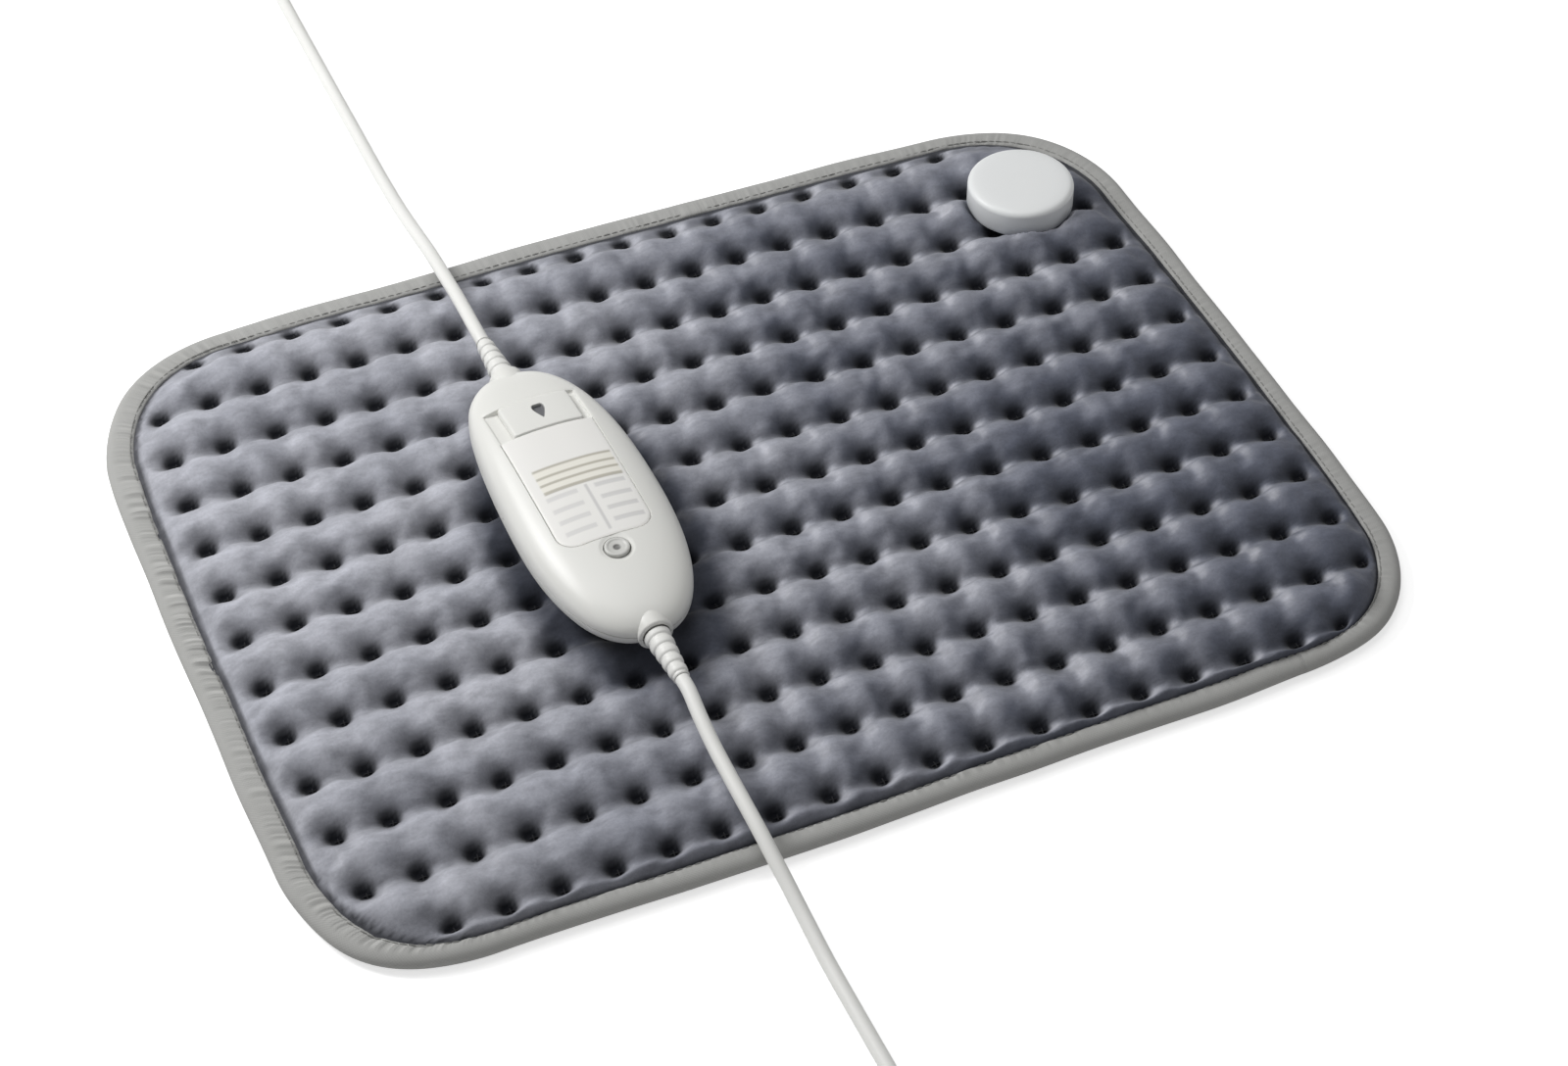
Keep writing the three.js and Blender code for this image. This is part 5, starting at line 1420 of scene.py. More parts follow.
@dataclass
class SocketHousing:
    """The round housing on the far right corner, open towards the far side."""

    x: float = 156.5
    y: float = 99.9
    z: float = 10.1
    radius: float = 20.0
    height: float = 11.6
    wall: float = 1.8
    draft: float = 0.9
    rounding: float = 2.6
    mouth_width: float = 13.6
    mouth_height: float = 5.0
    mouth_middle: float = 6.0

    def cap(self) -> None:
        """Make the cap: a turned shell with a softly domed top and the plug's mouth."""
        foot, top, dome = self.radius - self.draft, self.height, 0.35
        outside = [(foot, 0.0), (self.radius, 2 * self.draft), (self.radius, top - self.rounding)]
        for k in range(1, 9):
            a = k / 9 * math.pi / 2
            reach = self.radius - self.rounding * (1 - math.cos(a))
            outside.append((reach, top - self.rounding + (self.rounding - dome) * math.sin(a)))
        crown = [(self.radius * s, top - dome * s**2.4) for s in (0.86, 0.7, 0.5, 0.25)]
        inner, inner_top = self.radius - self.wall, top - self.wall
        inside = [(0.0, inner_top), (inner - 2, inner_top), (inner, inner_top - 1.5), (foot - self.wall, 0.0)]
        obj = add_object("socket_cap_shell", make_mesh("cap", turned([*inside, *outside, *crown, (0.0, top)], 128)))
        carve(obj, block((self.mouth_width, 14.0, self.mouth_height), (0.0, self.radius - 3.0, self.mouth_middle)))
        set_corners(obj.data, corners_of(obj.data) + (self.x, self.y, self.z))
        smooth(obj.data, 32)
        finish_piece("socket_cap_shell", obj, SOCKET, "pad", "socket_white", "socket_cap")


# ---- The hand switch


@dataclass
class HandSwitch:
    """The hand switch: two shells, legend film, slide knob, push button and strain reliefs."""

    x: float = -58.4
    y: float = 0.6
    z: float = 24.8
    turn: float = math.radians(1.5)
    half_width: float = 27.75
    half_length: float = 67.0
    upper: float = 12.35
    lower: float = 12.6
    cut_bottom: float = 10.5
    outline_power: float = 2.4
    section_power: float = 2.5
    wall: float = 2.0
    nose: float = 9.0
    parting: float = 0.15
    seat_gap: float = 0.3
    run_gap: float = 0.4
    band_y: float = 35.6
    band_depth: float = 18.0
    band_floor: float = 8.3
    band_tilt: float = math.radians(-6.4)
    band_half: float = 16.7
    tray_wall: float = 1.4
    knob_x: float = 3.5 / 3
    knob_width: float = 25.6
    knob_proud: float = 0.6
    panel_near: float = -29.6
    panel_corner: float = 7.0
    panel_thickness: float = 0.8
    button_y: float = -35.4
    button_radius: float = 4.3
    button_top: float = 11.7
    collar_radius: float = 6.2
    relief_root: float = 68.1
    relief_length: float = 20.5
    relief_root_radius: float = 4.6
    relief_tip_radius: float = 3.0
    relief_seat_gap: float = 0.2
    screw_x: float = 13.0
    screw_y: float = 50.0
    screw_radius: float = 3.1
    flank_start: float = 17.2
    flank_draw: float = 0.8
    flank_far: float = 1.9
    mesh_step: float = 0.4
    band_edge: float = 0.22
    button_dish: float = 0.45
    slot: Triple = (12.8, 4.2, 6.0)
    notch: Triple = (5.0, 1.0, 1.8)
    notch_y: float = 2.1
    stem: Triple = (5.0, 3.4, 5.4)
    stem_middle: float = 6.6
    pointer_depth: float = 1.3

    def drawn(self, points: Array) -> Array:
        """Draw a shell's left flank in, more so towards its far end.

        Args:
            points: Points in the switch's own frame.

        Returns:
            The moved points.
        """
        moved = points.copy()
        flank = np.maximum(-points[:, 0] - self.flank_start, 0) / (self.half_width - self.flank_start)
        moved[:, 0] += flank**1.5 * (self.flank_draw + self.flank_far * smooth_step(points[:, 1], -35, 40))
        return moved

    @property
    def frame(self) -> Matrix:
        """The switch's own frame, in millimetres."""
        return Matrix.Translation((self.x, self.y, self.z)) @ Matrix.Rotation(self.turn, 4, "Z")

    @property
    def bore(self) -> float:
        """The radius of the hole that a relief sits in."""
        return self.relief_root_radius + self.relief_seat_gap

    def end_place(self, way: int) -> Matrix:
        """Give the place of one end's relief, whose own Z points out of the housing."""
        return Matrix.Translation((0, way * self.relief_root, 0)) @ Matrix.Rotation(-way * math.pi / 2, 4, "X")

    def share(self, x: Array, y: Array, trim_x: float = 0.0, trim_y: float = 0.0) -> Array:
        """Measure places from the middle (0) to the housing's outline (1), drawn in by a trim."""
        a, b, power = self.half_width - trim_x, self.half_length - trim_y, self.outline_power
        return (np.abs(x / a) ** power + np.abs(y / b) ** power) ** (1 / power)

    def dome(self, share: Array, height: float) -> Array:
        """Give the height of a dome of the housing's section over shares of its outline."""
        return height * (1 - np.clip(share, 0, 1) ** self.section_power) ** (1 / self.section_power)

    def lean(self, angle: float, height: float) -> Pair:
        """Give the share of the outline and the height where that section leans by an angle."""
        power = 2 / self.section_power
        return math.cos(angle) ** power, height * math.sin(angle) ** power

    def crown(self, x: Array, y: Array, grow: float = 0.0) -> Array:
        """Give the height of the housing's crown, drawn larger by an amount."""
        return self.dome(self.share(x, y, -grow, -grow), self.upper + grow)

    def band_plane(self, y: Array) -> Array:
        """Give the height of the switch band's leaning floor."""
        return self.band_floor + (y - self.band_y) * math.tan(self.band_tilt)

    def panel_reach(self, x: Array, y: Array, grow: float = 0.0) -> Array:
        """Measure how far places lie outside the legend film's outline.

        Args:
            x: Places along X.
            y: Places along Y.
            grow: How much larger the outline is taken.

        Returns:
            The distances.
        """
        far = self.band_y - self.band_depth / 2 + self.seat_gap
        near, half, radius = self.panel_near - grow, self.band_half + grow, self.panel_corner + grow
        middle, reach = (far + near) / 2, (far - near) / 2
        round_end = rounded_reach(x, y - middle, half, reach, radius)
        square_end = np.maximum(np.abs(x) - half, np.abs(y - middle) - reach)
        return np.where(y < middle, round_end, square_end)

    def upper_surface(self, x: Array, y: Array) -> Array:
        """Give the upper shell's outer heights, with its band, film recess and button seat.

        Args:
            x: Places along X.
            y: Places along Y.

        Returns:
            The heights.
        """
        z = self.crown(x, y)
        band = np.maximum(np.abs(x) - self.band_half, np.abs(y - self.band_y) - self.band_depth / 2)
        z = z - self.band_edge * np.exp(-((np.maximum(band, 0) / 0.45) ** 2)) * (band > -0.4)
        floor = self.band_plane(y)
        z = floor + (z - floor) * smooth_step(band, -0.42, 0.02)
        film = self.panel_reach(x, y, self.seat_gap)
        z = z - (self.panel_thickness + self.seat_gap) * (1 - smooth_step(film, -0.3, 0.05)) * (band > 0)
        button = np.hypot(x, y - self.button_y) - self.button_radius - self.run_gap
        return z - self.button_dish * (1 - smooth_step(button, 0.0, 1.5))

    def inner_surface(self, x: Array, y: Array) -> Array:
        """Give the upper shell's inner heights, kept clear of the switch band.

        Args:
            x: Places along X.
            y: Places along Y.

        Returns:
            The heights.
        """
        z = self.dome(self.share(x, y, self.wall, self.nose), self.upper - self.wall)
        past_x, past_y = np.abs(x) - self.band_half, np.abs(y - self.band_y) - self.band_depth / 2
        tray = np.maximum(past_x, past_y) < self.tray_wall
        return np.where(tray, np.minimum(z, self.band_plane(y) - self.tray_wall), z)

    def openings(self, up: bool) -> Body:
        """Give what is cut out of a shell.

        Args:
            up: Whether it is the upper shell, with the button's bore and the knob's slot, or the
                lower one, with its screw wells.

        Returns:
            The cutters as one body.
        """
        def hole(radius: float, low: float, high: float, sides: int, place: Matrix) -> Body:
            """Make a round cutter between two heights."""
            return placed(turned([(0, low), (radius, low), (radius, high), (0, high)], sides), place)

        cuts = [hole(self.bore, -12, 3, 48, self.end_place(way)) for way in (1, -1)]
        if up:
            button = Matrix.Translation((0, self.button_y, 0))
            cuts.append(hole(self.button_radius + self.run_gap, 3, 14, 72, button))
            cuts.append(block(self.slot, (0, self.band_y, self.band_floor), self.band_tilt))
            side_x = self.half_width + 0.1
            cuts += [block(self.notch, (x, self.notch_y, self.parting)) for x in (side_x, -side_x)]
        else:
            screws = [(x, y, 0) for x in (-self.screw_x, self.screw_x) for y in (-self.screw_y, self.screw_y)]
            cuts += [hole(self.screw_radius, -16, -6.2, 32, Matrix.Translation(place)) for place in screws]
        return merged(*cuts)

    def collar(self, way: int, up: bool) -> Body:
        """Make half of the round lip at one end of the housing.

        Args:
            way: Which end, by its way along Y.
            up: Whether it is the upper half.

        Returns:
            Points and faces.
        """
        outer, inner = self.collar_radius, self.bore
        section = [(inner, -8.0), (outer, -8.0), (outer, 0.1), (outer - 0.25, 0.55), (outer - 0.7, 0.8), (inner, 0.8)]
        start = math.asin(self.parting / outer)
        rings = [
            [(r * math.cos(a), way * (self.half_length + h), r * math.sin(a)) for r, h in section]
            for a in np.linspace(start, math.pi - start, 33) * (1 if up else -1)
        ]
        return loft(np.array(rings))

    def finish_shell(self, side: str, points: Array, faces: list) -> None:
        """Cut a shell's openings, add its collars, place it and dress it.

        Args:
            side: Whether it is the upper or the lower shell.
            points: Its points in the switch's own frame.
            faces: Its faces.
        """
        up = side == "upper"
        obj = add_object(f"{side}_shell", make_mesh(f"{side} shell", (self.drawn(points), faces)))
        carve(obj, self.openings(up))
        body = (corners_of(obj.data), [list(face.vertices) for face in obj.data.polygons])
        old = obj.data
        obj.data = make_mesh(obj.name, placed(merged(body, self.collar(1, up), self.collar(-1, up)), self.frame))
        bpy.data.meshes.remove(old)
        smooth(obj.data, 34)
        finish_piece(obj.name, obj, HOUSING, "controller", "housing", f"controller_{side}_shell")

    def upper_shell(self) -> None:
        """Make the upper shell: an outer and an inner sheet whose rims run down to the parting."""
        edge = 0.9
        # The grid is finer where the film, the button and the band have their edges
        columns = spaced(-27, 27, 0.8, [(-17.4, -9.4, 0.28), (9.4, 17.4, 0.28), (-6.6, 6.6, 0.4)])
        fine = [(-42.0, -30.6, 0.4), (-30.4, -22.0, 0.28), (26.0, 27.4, 0.2), (44.0, 45.2, 0.2)]
        rows = spaced(-63, 63, 0.9, fine)
        patch = Patch.cut(columns, rows, lambda x, y: (self.share(x, y) - edge) * self.half_width)
        x, y, ring = patch.x, patch.y, patch.rim
        inner_x, inner_y = x * (1 - self.wall / self.half_width), y * (1 - self.nose / self.half_length)
        outer = np.stack([x, y, self.upper_surface(x, y)], 1)
        inner = np.stack([inner_x, inner_y, self.inner_surface(inner_x, inner_y)], 1)
        start = math.acos(edge ** (self.section_power / 2))

        def skirt(rim: Array, height: float, angles: list[float]) -> list[Array]:
            """Carry a rim down to the parting, one ring for each angle of the section.

            Args:
                rim: The rim's points.
                height: Height of its dome.
                angles: Angles of the section, from the rim down.

            Returns:
                The rings' points.
            """
            rings = []
            for share, level in (self.lean(angle, height) for angle in angles):
                heights = np.full(len(rim), max(level, self.parting))
                rings.append(np.column_stack([rim[:, :2] * (share / edge), heights]))
            return rings

        out = skirt(outer[ring], self.upper, [start * (1 - k / 22) ** 1.3 for k in range(1, 23)])
        back = skirt(inner[ring], self.upper - self.wall, [start * (1 - k / 8) for k in range(1, 9)])
        turn = np.arange(len(ring))
        down = [turn + len(outer) + k * len(ring) for k in range(len(out))]
        first = len(outer) + len(out) * len(ring)
        up = [turn + first + len(inner) + k * len(ring) for k in range(len(back))]
        chain = [ring, *down, *up[::-1], ring + first]
        faces = patch.quads.tolist() + (patch.quads[:, ::-1] + first).tolist()
        # The skirts go down outside, turn at the parting and come up inside
        for a, c in zip(chain, chain[1:]):
            faces += np.stack([a, c, np.roll(c, -1), np.roll(a, -1)], 1).tolist()
        self.finish_shell("upper", np.concatenate([outer, *out, inner, *back]), faces)

    def lower_shell(self) -> None:
        """Make the lower shell: a bowl with a flat foot and four screw wells."""
        across, along = squarish(144, self.outline_power)
        flat = math.asin((self.cut_bottom / self.lower) ** (self.section_power / 2))

        def ring(angle: float, wall: float, nose: float) -> Array:
            """Give a ring of the bowl's skin, drawn in by a wall and at both ends by a nose.

            Args:
                angle: How far the section leans.
                wall: How far it is drawn in.
                nose: How far it is drawn in at both ends.

            Returns:
                The ring's points.
            """
            share, deep = self.lean(angle, self.lower - wall)
            level = max(min(deep, self.cut_bottom - wall), self.parting)
            x, y = (self.half_width - wall) * share * across, (self.half_length - nose) * share * along
            return np.stack([x, y, np.full(len(x), -level)], 1)

        rings = [ring(flat * k / 6, self.wall, self.nose) for k in range(6, -1, -1)]
        rings += [ring(flat * (k / 18) ** 1.2, 0.0, 0.0) for k in range(19)]
        rings.append(rings[-1] * (0.985, 0.992, 1.0))
        self.finish_shell("lower", *loft(np.array(rings)))

    def legend_film(self) -> None:
        """Make the legend film with rows of plain printed bars."""
        far = self.band_y - self.band_depth / 2 + self.seat_gap
        columns = spaced(-self.band_half, self.band_half, self.mesh_step, [])
        patch = Patch.cut(columns, spaced(self.panel_near, far, self.mesh_step, []), self.panel_reach)
        x, y = patch.x, patch.y
        crown, edge = self.crown(x, y), 0.2 * (1 - smooth_step(-self.panel_reach(x, y), 0.0, 0.5))

        def bar(left: float, right: float, row: float, half: float) -> Array:
            """Say how much ink a bar leaves at each corner of the upper sheet."""
            past = np.maximum(np.abs(x - (left + right) / 2) - (right - left) / 2, np.abs(y - row) - half)
            return 1 - smooth_step(past, -0.1, 0.5)

        left, right = -12.6, 15.2
        warm = sum(bar(left, right, row, half) for row, half in ((8.0, 0.35), (4.1, 0.35), (0.6, 0.35), (-3.2, 0.55)))
        grey = bar(0.9, 1.5, -16.0, 11.0)
        for row in (-6.4, -12.4, -18.0, -23.6):
            grey = grey + bar(-13.0, -2.4, row, 0.8) * 0.6 + bar(4.2, 14.6, row, 0.8) * 0.75
        make_piece(
            "legend_film", placed(patch.shell(crown - edge, crown - self.panel_thickness), self.frame), 34, FILM,
            "controller", "panel", "legend_panel", warm_ink=np.clip(warm, 0, 1) * 0.66,
            grey_ink=np.clip(grey, 0, 1) * 0.6, fill=bar(left, right, 2.4, 5.6) * 0.26,
        )

    def knob(self) -> None:
        """Make the slide knob: a saddle that follows the crown, with a sunken pointer and a stem."""
        half_x, half_y, edge = self.knob_width / 2, self.band_depth / 2 - self.run_gap, 0.9
        columns = self.knob_x + spaced(-half_x, half_x, self.mesh_step, [(-2.6, 2.6, 0.16)])
        rows = self.band_y + spaced(-half_y, half_y, self.mesh_step, [(-4.6, 4.6, 0.2)])

        def reach(x: Array, y: Array) -> Array:
            """Measure how far places lie outside the knob."""
            return rounded_reach(x - self.knob_x, y - self.band_y, half_x, half_y, edge)

        patch = Patch.cut(columns, rows, reach)
        x, y = patch.x, patch.y
        inward = np.clip(-reach(x, y), 0, edge) / edge
        top = self.crown(x, y, self.knob_proud) - edge * (1 - np.sqrt(np.clip(1 - (1 - inward) ** 2, 0, 1)))
        # The pointer is a leaf, widest towards its far end; width is half of what it measures there
        t = np.linspace(0, 1, 60)
        leaf_y = -4 * (1 - t) ** 2 + 2 * t * (1 - t) * 4.8 + 4 * t**2
        order = np.argsort(leaf_y)
        width = np.interp(y - self.band_y, leaf_y[order], (2 * t * (1 - t) * 4.6)[order], left=-1, right=-1)
        past = np.abs(x - self.knob_x) - width
        top = top - self.pointer_depth * (1 - smooth_step(past, -0.75, 0.1)) * (width > 0)
        stem = block(self.stem, (self.knob_x, self.band_y, self.stem_middle))
        saddle = patch.shell(top, self.band_plane(y) + self.seat_gap)
        # The grey ink is painted shade in the pointer's recess
        make_piece(
            "slide_knob_saddle", placed(merged(saddle, stem), self.frame), 40, KNOB, "slide_knob", "housing",
            "slide_knob", grey_ink=(1 - smooth_step(past, -0.5, 0.15)) * (width > 0),
        )

    def button(self) -> None:
        """Make the push button with its dished top and flange."""
        r, top = self.button_radius, self.button_top
        profile = [
            (0, 2.7), (1.8, 2.7), (1.8, 6.9), (5.6, 6.9), (5.6, 7.9), (r, 7.9), (r, top - 0.25),
            (r - 0.5, top), (r - 1.0, top), (r - 1.4, top - 0.3), (1.9, top - 0.45), (1.3, top - 0.55),
            (0.9, top - 0.95), (0, top - 1.0),
        ]
        body = turned(soft_profile(profile, 0.22, 3), 72)
        x, y, z = body[0].T
        place = self.frame @ Matrix.Translation((0, self.button_y, 0))
        # The grey ink is painted shade in the middle of the dish
        make_piece(
            "round_button", placed(body, place), 50, BUTTON, "push_button", "button", "push_button",
            grey_ink=smooth_step(-np.hypot(x, y), -1.7, -0.9) * (z > 8),
        )

    def relief(self, end: End) -> None:
        """Make the ribbed strain relief of one end.

        Args:
            end: Which end it is.
        """
        foot = [(0, -7.0), (4.4, -7.0), (4.4, -5.4), (3.4, -5.4), (3.4, 0.0)]
        body = turned(foot + relief_profile(self.relief_length, self.relief_root_radius, self.relief_tip_radius), 48)
        side = "pad" if end is End.PAD else "mains"
        make_piece(
            f"{side}_relief_boot", placed(body, self.frame @ self.end_place(end.value)), 40, OVERMOULD, "controller",
            "cord", f"{side}_strain_relief",
        )

    def build(self) -> None:
        """Make and dress every outer piece of the hand switch."""
        self.upper_shell()
        self.lower_shell()
        self.legend_film()
        self.knob()
        self.button()
        for end in End:
            self.relief(end)


def relief_profile(length: float, root: float, tip: float) -> list[Pair]:
    """Give the ribbed taper of a strain relief.

    Args:
        length: From its root to its tip.
        root: Radius at the root.
        tip: Radius at the tip.

    Returns:
        The profile from the root to the axis at the tip.
    """
    profile, ribs, groove, lip = [(root - 0.25, 0.0), (root, 0.3)], 5, 0.48, 0.12
    step = length / ribs
    # How far along each rib a point lies, where its radius is read, and how deep it is cut in
    cuts = (
        (0.45, 0.45, 0.0), (0.56, 0.55, lip), (0.64, 0.62, groove), (0.9, 0.92, groove),
        (0.97, 0.98, lip), (1.06, 1.0, 0.0),
    )
    for rib in range(ribs):
        for along, share, deep in cuts if rib < ribs - 1 else cuts[:4]:
            profile.append((root + (tip - root) * (rib + share) / ribs - deep, (rib + along) * step))
    return profile + [(tip - 0.1, length * 0.985), (tip - 0.35, length), (0, length)]


# ---- The leads


@dataclass
class Lead:
    """One lead: its free run, the coil of the length that is put away, its tail and its plug."""

    name: str
    run: list[Triple]
    centre: Pair
    loops: float
    layers: int
    middle_radius: float
    start_turn: float
    tail_run: float
    plug_middle: float
    relief_length: float
    real_length: float
    diameter: float = 5.0
    turn_pitch: float = 5.6
    layer_pitch: float = 5.5
    first_middle: float = 3.5
    gap: float = 0.3
    hem_y: float = 152.0

    def coil(self) -> Array:
        """Give the coil's middle line by the rule that its loops follow.

        Returns:
            Its points.
        """
        per_layer = self.loops / self.layers
        growth = self.turn_pitch * per_layer
        wound = np.arange(0, round(self.loops * 48) + 1) / 48
        phase = wound / per_layer % 2
        fold = np.where(phase < 1, phase, 2 - phase)
        climbed = sum(np.clip((wound - layer * per_layer) * 2 + 0.5, 0, 1) for layer in range(1, self.layers))
        turn = self.start_turn - wound * 2 * math.pi
        radius = self.middle_radius + growth / 2 - growth * fold
        x, y = self.centre[0] + radius * np.cos(turn), self.centre[1] + radius * np.sin(turn)
        return np.stack([x, y, self.first_middle + climbed * self.layer_pitch], 1)

    def ways(self) -> tuple[Array, Array]:
        """Give the directions in which the lead enters and leaves its coil."""
        end = self.start_turn - self.loops * 2 * math.pi
        return tuple(np.array([math.sin(turn), -math.cos(turn), 0.0]) for turn in (self.start_turn, end))

    def path(self) -> Array:
        """Give the whole middle line, from the hand switch to the plug.

        Returns:
            Its points.
        """
        coil = self.coil()
        way_in, way_out = self.ways()
        entry = coil[0] - way_in * self.diameter
        leave = coil[-1] + way_out * self.diameter
        run = self.run + [tuple(entry - way_in * self.diameter), tuple(entry)]
        tail = [leave, leave + way_out * self.diameter]
        for share in (0.2, 0.35, 0.5, 0.65, 0.8, 1.0):
            point = leave + way_out * (self.diameter + (self.tail_run - 2 * self.diameter) * share)
            point[2] += (self.plug_middle - leave[2]) * smooth_step(share, 0, 1)
            tail.append(point)
        tail.append(tail[-1] + way_out * self.diameter)
        return np.concatenate([catmull(run, 2.5), coil, catmull([tuple(p) for p in tail], 3.0)])

    def plug_frame(self) -> Matrix:
        """Give the plug's own frame: along +X, with the lead coming from -X.

        Returns:
            The frame.
        """
        _, way_out = self.ways()
        leave = self.coil()[-1] + way_out * (self.diameter + self.tail_run + self.gap)
        turn = math.atan2(way_out[1], way_out[0])
        return Matrix.Translation((leave[0], leave[1], self.plug_middle)) @ Matrix.Rotation(turn, 4, "Z")

    def tie(self) -> bpy.types.Object:
        """Make the strap that holds the coil together.

        Returns:
            The strap.
        """
        wide = self.turn_pitch * self.loops / self.layers + self.diameter + 1.4
        high = self.layer_pitch * (self.layers - 1) + self.diameter + 0.6
        wall, half, bottom = 0.6, 4.0, 0.1
        skin = []
        for y, swell in ((-half, -0.15), (0.3 - half, 0.0), (half - 0.3, 0.0), (half, -0.15)):
            outer = rounded_ring(wide + 2 * wall + swell, high + 2 * wall + swell, 2.6, 6)
            inner = rounded_ring(wide - swell, high - swell, 2.0, 6)
            skin.append([np.column_stack([ring[:, 0], np.full(len(ring), y), ring[:, 1]]) for ring in (outer, inner)])
        rings = [outer for outer, _ in skin] + [inner for _, inner in skin[::-1]]
        place = (
            Matrix.Translation((self.centre[0], self.centre[1], 0))
            @ Matrix.Rotation(self.start_turn + math.pi * 5 / 4, 4, "Z")
            @ Matrix.Translation((self.middle_radius, 0, bottom + wall + high / 2))
        )
        shape = placed(loft(np.array(rings), closed=True), place)
        return make_piece(f"{self.name}_coil_strap", shape, 45, STRAP, "pad", "component", f"{self.name}_coil_tie")

    def boot(self) -> bpy.types.Object:
        """Make the ribbed relief where the lead enters its plug.

        Returns:
            The relief.
        """
        body = turned([(0, -6.0), (3.4, -6.0), (3.4, 0.0)] + relief_profile(self.relief_length, 4.6, 3.4), 40)
        back = Matrix.Rotation(-math.pi / 2, 4, "Y")
        place = self.plug_frame() @ Matrix.Translation((self.relief_length, 0, 0)) @ back
        name = f"{self.name}_plug"
        return make_piece(f"{name}_boot", placed(body, place), 40, OVERMOULD, "pad", "cord", f"{name}_relief")

    def build(self, exit_y: float, plug: bpy.types.Object, pins: tuple[str, ...]) -> None:
        """Make the lead and say what it measures.

        Args:
            exit_y: Where it leaves the hand switch along Y; not used.
            plug: The plug's body; not used.
            pins: Names of the plug's pins; not used.
        """
        path = self.path()
        length = float(np.linalg.norm(np.diff(path, axis=0), axis=1).sum())
        log.info("%s lead is %.0f mm long", self.name, length)
        replaced = [f"{self.name}_lead{part}" for part in ("", "_coil", "_tail")]
        shape = tube(path, self.diameter / 2, 16)
        obj = make_piece(f"{self.name}_cord", shape, 60, SHEATH, None, "cord", *replaced)
        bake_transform(obj)
        self.tie()
        self.boot()


def rounded_ring(width: float, height: float, radius: float, steps: int) -> Array:
    """Give a rounded rectangle's outline about its middle, once round.

    Args:
        width: Its whole width.
        height: Its whole height.
        radius: Radius of its corners.
        steps: How many steps a corner has.

    Returns:
        Its points.
    """
    points = []
    for k, (sx, sy) in enumerate([(1, -1), (1, 1), (-1, 1), (-1, -1)]):
        for n in range(steps + 1):
            a = -math.pi / 2 + (k + n / steps) * math.pi / 2
            x, y = sx * (width / 2 - radius), sy * (height / 2 - radius)
            points.append((x + radius * math.cos(a), y + radius * math.sin(a)))
    return np.array(points)


def plug_rings(stations: list[Triple], power: float = 5.0, sides: int = 64) -> Array:
    """Give the rings of a plug's body.

    Args:
        stations: For each ring its place along X, half its width and half its height.
        power: How square the section is.
        sides: How many corners a ring has.

    Returns:
        The rings.
    """
    across, up = squarish(sides, power)
    return np.array([np.stack([np.full(sides, x), wide * across, high * up], 1) for x, wide, high in stations])


@dataclass
class Plugs:
    """The two plugs' bodies, moulded on their leads."""

    gap: float = 0.3
    mains_length: float = 36.0
    pad_length: float = 22.0
    cap_middle: float = 42.0
    cap_radius: float = 20.3
    cap_flat: float = 15.9

    def seat(self, lead: Lead) -> Matrix:
        """Give the place where a plug's body starts."""
        return lead.plug_frame() @ Matrix.Translation((lead.relief_length + self.gap, 0, 0))

    def mains(self, lead: Lead) -> bpy.types.Object:
        """Make the flat two-pinned mains plug's body.

        Args:
            lead: The lead that it ends.

        Returns:
            The body.
        """
        shape = np.array([
            (0.0, 4.6, 4.9), (0.6, 5.4, 5.9), (4.0, 6.0, 6.4), (10.0, 7.6, 6.7), (15.0, 10.2, 6.85), (20.0, 13.4, 6.85),
            (25.0, 16.4, 6.85), (28.5, 17.5, 6.85), (32.0, 17.65, 6.85), (35.0, 17.65, 6.85), (35.7, 17.3, 6.5),
            (36.0, 16.7, 5.9),
        ])
        x = np.linspace(0, self.mains_length, 41)
        fine = np.stack([x, *(np.interp(x, shape[:, 0], shape[:, k]) for k in (1, 2))], 1)
        body = placed(loft(plug_rings(fine)), self.seat(lead))
        return make_piece("mains_plug_shell", body, 50, OVERMOULD, "pad", "cord", "mains_plug_body")

    def pad(self, lead: Lead) -> bpy.types.Object:
        """Make the pad plug's body, hollowed to fit the socket's cap, and its flat tongue.

        Args:
            lead: The lead that it ends.

        Returns:
            The body.
        """
        x = np.linspace(0, self.pad_length, 29)
        half = np.interp(x, [0, 0.5, 4, 8, 11, 20, 22], [4.4, 5.5, 9.2, 11.8, 12.5, 12.5, 12.5])
        high = np.interp(x, [0, 0.6, 2, 20, 21.4, 22], [3.6, 4.5, 5.0, 5.0, 4.9, 4.5])
        rings = plug_rings(np.stack([x, half, high], 1), 4.5)
        hollow = self.cap_middle - np.sqrt(self.cap_radius**2 - rings[:, :, 1] ** 2)
        rings[:, :, 0] *= np.minimum(hollow, self.cap_middle - self.cap_flat) / self.pad_length
        tongue = loft(plug_rings([(18.0, 6.2, 1.9), (33.0, 6.4, 2.1), (33.4, 6.1, 1.8)], 9.0, 48))
        body = placed(merged(loft(rings), tongue), self.seat(lead))
        return make_piece("pad_plug_shell", body, 50, SOCKET, "pad", "socket_white", "pad_plug_body")


